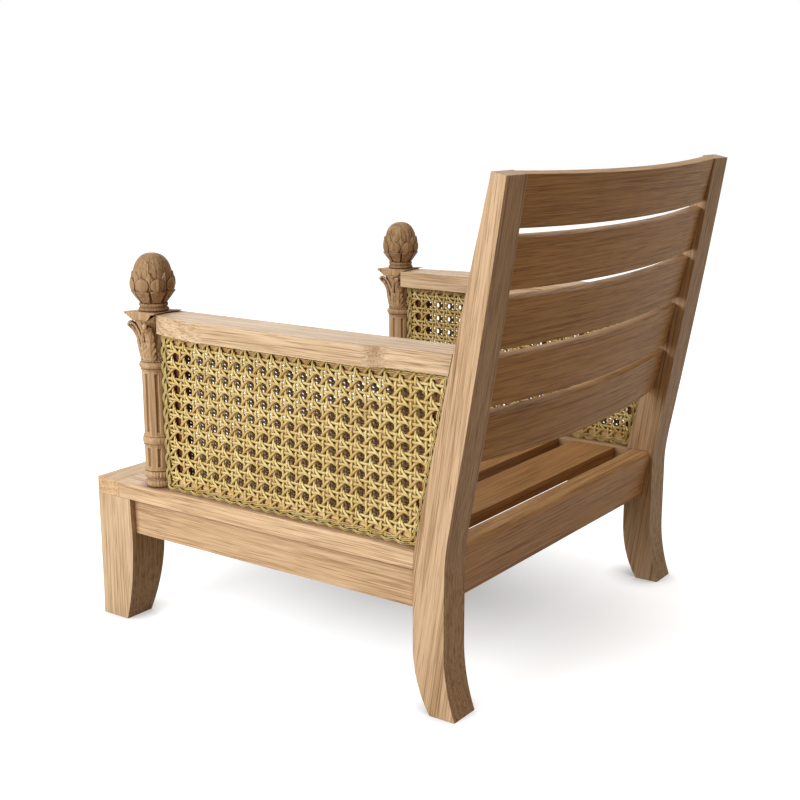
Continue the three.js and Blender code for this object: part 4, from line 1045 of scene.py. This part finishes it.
def plait(x, out):
    """Three plies of two strands each, plaited along the route in the plane x."""
    route, length = loop_route()
    tangent = np.roll(route, -1, axis=0) - np.roll(route, 1, axis=0)
    tangent /= np.linalg.norm(tangent, axis=1)[:, None]
    normal = np.stack([tangent[:, 1], -tangent[:, 0]], axis=1)
    periods = round(length / PLAIT_PITCH)
    share = np.arange(len(route)) / len(route)
    around = np.linspace(0, TURN, CANE_SIDES, endpoint=False)[None, :]
    bundle = Bundle()
    for ply in range(PLAIT_PLIES):
        phase = TURN * (share * periods + ply / PLAIT_PLIES)
        aside = PLAIT_HALF * np.sin(phase)
        lift = PLAIT_LIFT * np.sin(2 * phase)
        for strand in (-1, 1):
            middle = (aside + strand * PLY_HALF)[:, None] + PLY_RADIUS * np.cos(around) * out
            height = lift[:, None] + PLY_RADIUS * np.sin(around)
            rings = np.stack([
                x + out * height,
                route[:, :1] + normal[:, :1] * middle,
                route[:, 1:] + normal[:, 1:] * middle,
            ], axis=-1)
            where = share[:, None] * length + ply * PLY_SHIFT + strand * PLY_STRAND_SHIFT
            uv = np.stack(np.broadcast_arrays(where, around / TURN), axis=-1)
            bundle.loop(rings, uv)
    return bundle


def edgings():
    reach = panel_half + PLAIT_STAND
    build_pair(plait(column_x + reach, 1), "edging_outer", cane_plait_look, "edging")
    build_pair(plait(column_x - reach, -1), "edging_inner", cane_plait_look, "edging")


# Camera, floor and light

CAMERA_PLACE = (1.83186, 1.25694, 0.87932)
CAMERA_BACK = (0.79495, 0.56431, 0.22256)  # from what it looks at towards the camera
CAMERA_LENS = 57.776
CAMERA_SENSOR = 36
CAMERA_REACH = 50
FLOOR_RADIUS = 9
FLOOR_SIDES = 96
FLOOR_BOUNCE = (0.27, 0.19, 0.13)  # what the floor gives back to the chair
FLOOR_SEEN = (0.432, 0.462, 0.498)
# The floor's glow paints a shadow under the chair: it is lowest at the middle of the shadow and rises to
# white from FLOOR_NEAR to FLOOR_FAR. The feet get a painted contact shadow.
FLOOR_SHADOW_GLOW = 0.385  # added near the chair so that the lit floor is white
FLOOR_SHADOW_MIDDLE = (-0.06, -0.04, 0)  # the middle of the shadow
FLOOR_STRETCH = (1.6, 1, 0)
FLOOR_NEAR = 0.1
FLOOR_FAR = 0.66
FLOOR_CONTACT_SHADE = 0.6
FLOOR_CONTACT = 0.06  # how far the dark contact of the feet reaches
AMBIENT = 0.355
AMBIENT_COLOUR = (1.0, 0.77, 0.54)
LAMP_AIM = (0, 0, 0.35)
LAMPS = {  # place, diameter and power
    "key": ((3.3, -1.1, 1.9), 2.2, 76),
    "low": ((3.2, -0.5, 0.55), 1.0, 37),
    "top": ((0.6, -0.6, 3.4), 3.0, 34),
    "fill": ((-2.4, -2.8, 1.3), 2.4, 26),
}


def camera():
    data = bpy.data.cameras.new("camera")
    data.lens = CAMERA_LENS
    data.sensor_width = CAMERA_SENSOR
    data.clip_end = CAMERA_REACH
    eye = bpy.data.objects.new("camera", data)
    eye.location = CAMERA_PLACE
    eye.rotation_euler = (-Vector(CAMERA_BACK)).to_track_quat("-Z", "Y").to_euler()
    bpy.context.collection.objects.link(eye)
    bpy.context.scene.camera = eye


def white_rays(tree):
    """1 for the rays that see the backdrop: from the camera, a reflection or a clear body."""
    rays = tree.nodes.new("ShaderNodeLightPath")
    seen = rays.outputs["Is Camera Ray"]
    for kind in ("Is Glossy Ray", "Is Transmission Ray"):
        either = tree.nodes.new("ShaderNodeMath")
        either.operation = "MAXIMUM"
        tree.links.new(seen, either.inputs[0])
        tree.links.new(rays.outputs[kind], either.inputs[1])
        seen = either.outputs[0]
    return seen


def floor_paint():
    """Shows white to the camera but keeps the shadows, and lights the chair less. Its glow paints a shadow
    under the chair, lowest at the shadow's middle, and a contact shadow at the feet.
    """
    made = Shader("floor_paint")
    made.surface.inputs["Base Color"].default_value = (*FLOOR_BOUNCE, 1)
    made.surface.inputs["Roughness"].default_value = 0.8
    made.surface.inputs["Specular IOR Level"].default_value = 0.1
    where = made.node("TexCoord", output=3)
    offset = made.node("VectorMath", {0: where, 1: FLOOR_SHADOW_MIDDLE}, operation="SUBTRACT")
    away = made.node("VectorMath", {0: made.scaled(offset, FLOOR_STRETCH)}, output=1, operation="LENGTH")
    # painted shadow, darkest round the middle of the chair's shadow
    lift = made.spread(away, FLOOR_NEAR, FLOOR_FAR, FLOOR_SHADOW_GLOW, 1.0)
    # painted contact shadow at the feet
    contact = made.spread(made.painted_shade(FLOOR_CONTACT), 0.04, 0.5, 0.0, FLOOR_CONTACT_SHADE)
    lift = made.math("SUBTRACT", lift, contact)
    seen = made.node("BsdfDiffuse", {"Color": (*FLOOR_SEEN, 1)})
    shown = made.node("AddShader", {0: seen, 1: made.node("Emission", {"Strength": lift})})
    mixed = made.node("MixShader", {0: white_rays(made.tree), 1: made.surface.outputs[0], 2: shown})
    made.feed(made.tree.nodes["Material Output"].inputs["Surface"], mixed)
    return made.material


def floor():
    """A pale round floor."""
    angle = np.linspace(0, TURN, FLOOR_SIDES, endpoint=False)
    points = [(FLOOR_RADIUS * math.cos(a), FLOOR_RADIUS * math.sin(a), 0) for a in angle]
    mesh = bpy.data.meshes.new("floor")
    mesh.from_pydata(points, [], [list(range(len(points)))])
    mesh.materials.append(floor_paint())
    ground = bpy.data.objects.new("floor", mesh)
    bpy.context.collection.objects.link(ground)


def area_light(name, place, size, power):
    data = bpy.data.lights.new(name, "AREA")
    data.shape = "DISK"
    data.size = size
    data.energy = power
    lamp = bpy.data.objects.new(name, data)
    lamp.location = place
    lamp.rotation_euler = (Vector(place) - Vector(LAMP_AIM)).to_track_quat("Z", "Y").to_euler()
    bpy.context.collection.objects.link(lamp)


def world():
    """White to the camera and in reflections, and a softer, warmer tone that lights the scene."""
    sky = bpy.data.worlds.new("studio")
    sky.use_nodes = True
    bpy.context.scene.world = sky
    tree = sky.node_tree
    tree.nodes.clear()
    out = tree.nodes.new("ShaderNodeOutputWorld")
    mixed = tree.nodes.new("ShaderNodeMixShader")
    soft, white = (tree.nodes.new("ShaderNodeBackground") for _ in range(2))
    soft.inputs["Color"].default_value = (*AMBIENT_COLOUR, 1)
    soft.inputs["Strength"].default_value = AMBIENT
    white.inputs["Color"].default_value = (1, 1, 1, 1)
    white.inputs["Strength"].default_value = 1.0
    tree.links.new(white_rays(tree), mixed.inputs[0])
    tree.links.new(soft.outputs[0], mixed.inputs[1])
    tree.links.new(white.outputs[0], mixed.inputs[2])
    tree.links.new(mixed.outputs[0], out.inputs[0])


camera()
floor()
world()
for lamp_name, lamp_values in LAMPS.items():
    area_light(lamp_name, *lamp_values)
bpy.context.scene.view_settings.view_transform = "Standard"

dress_timber()
column()
finial("left")
finial("right")
cane_panels()
edgings()
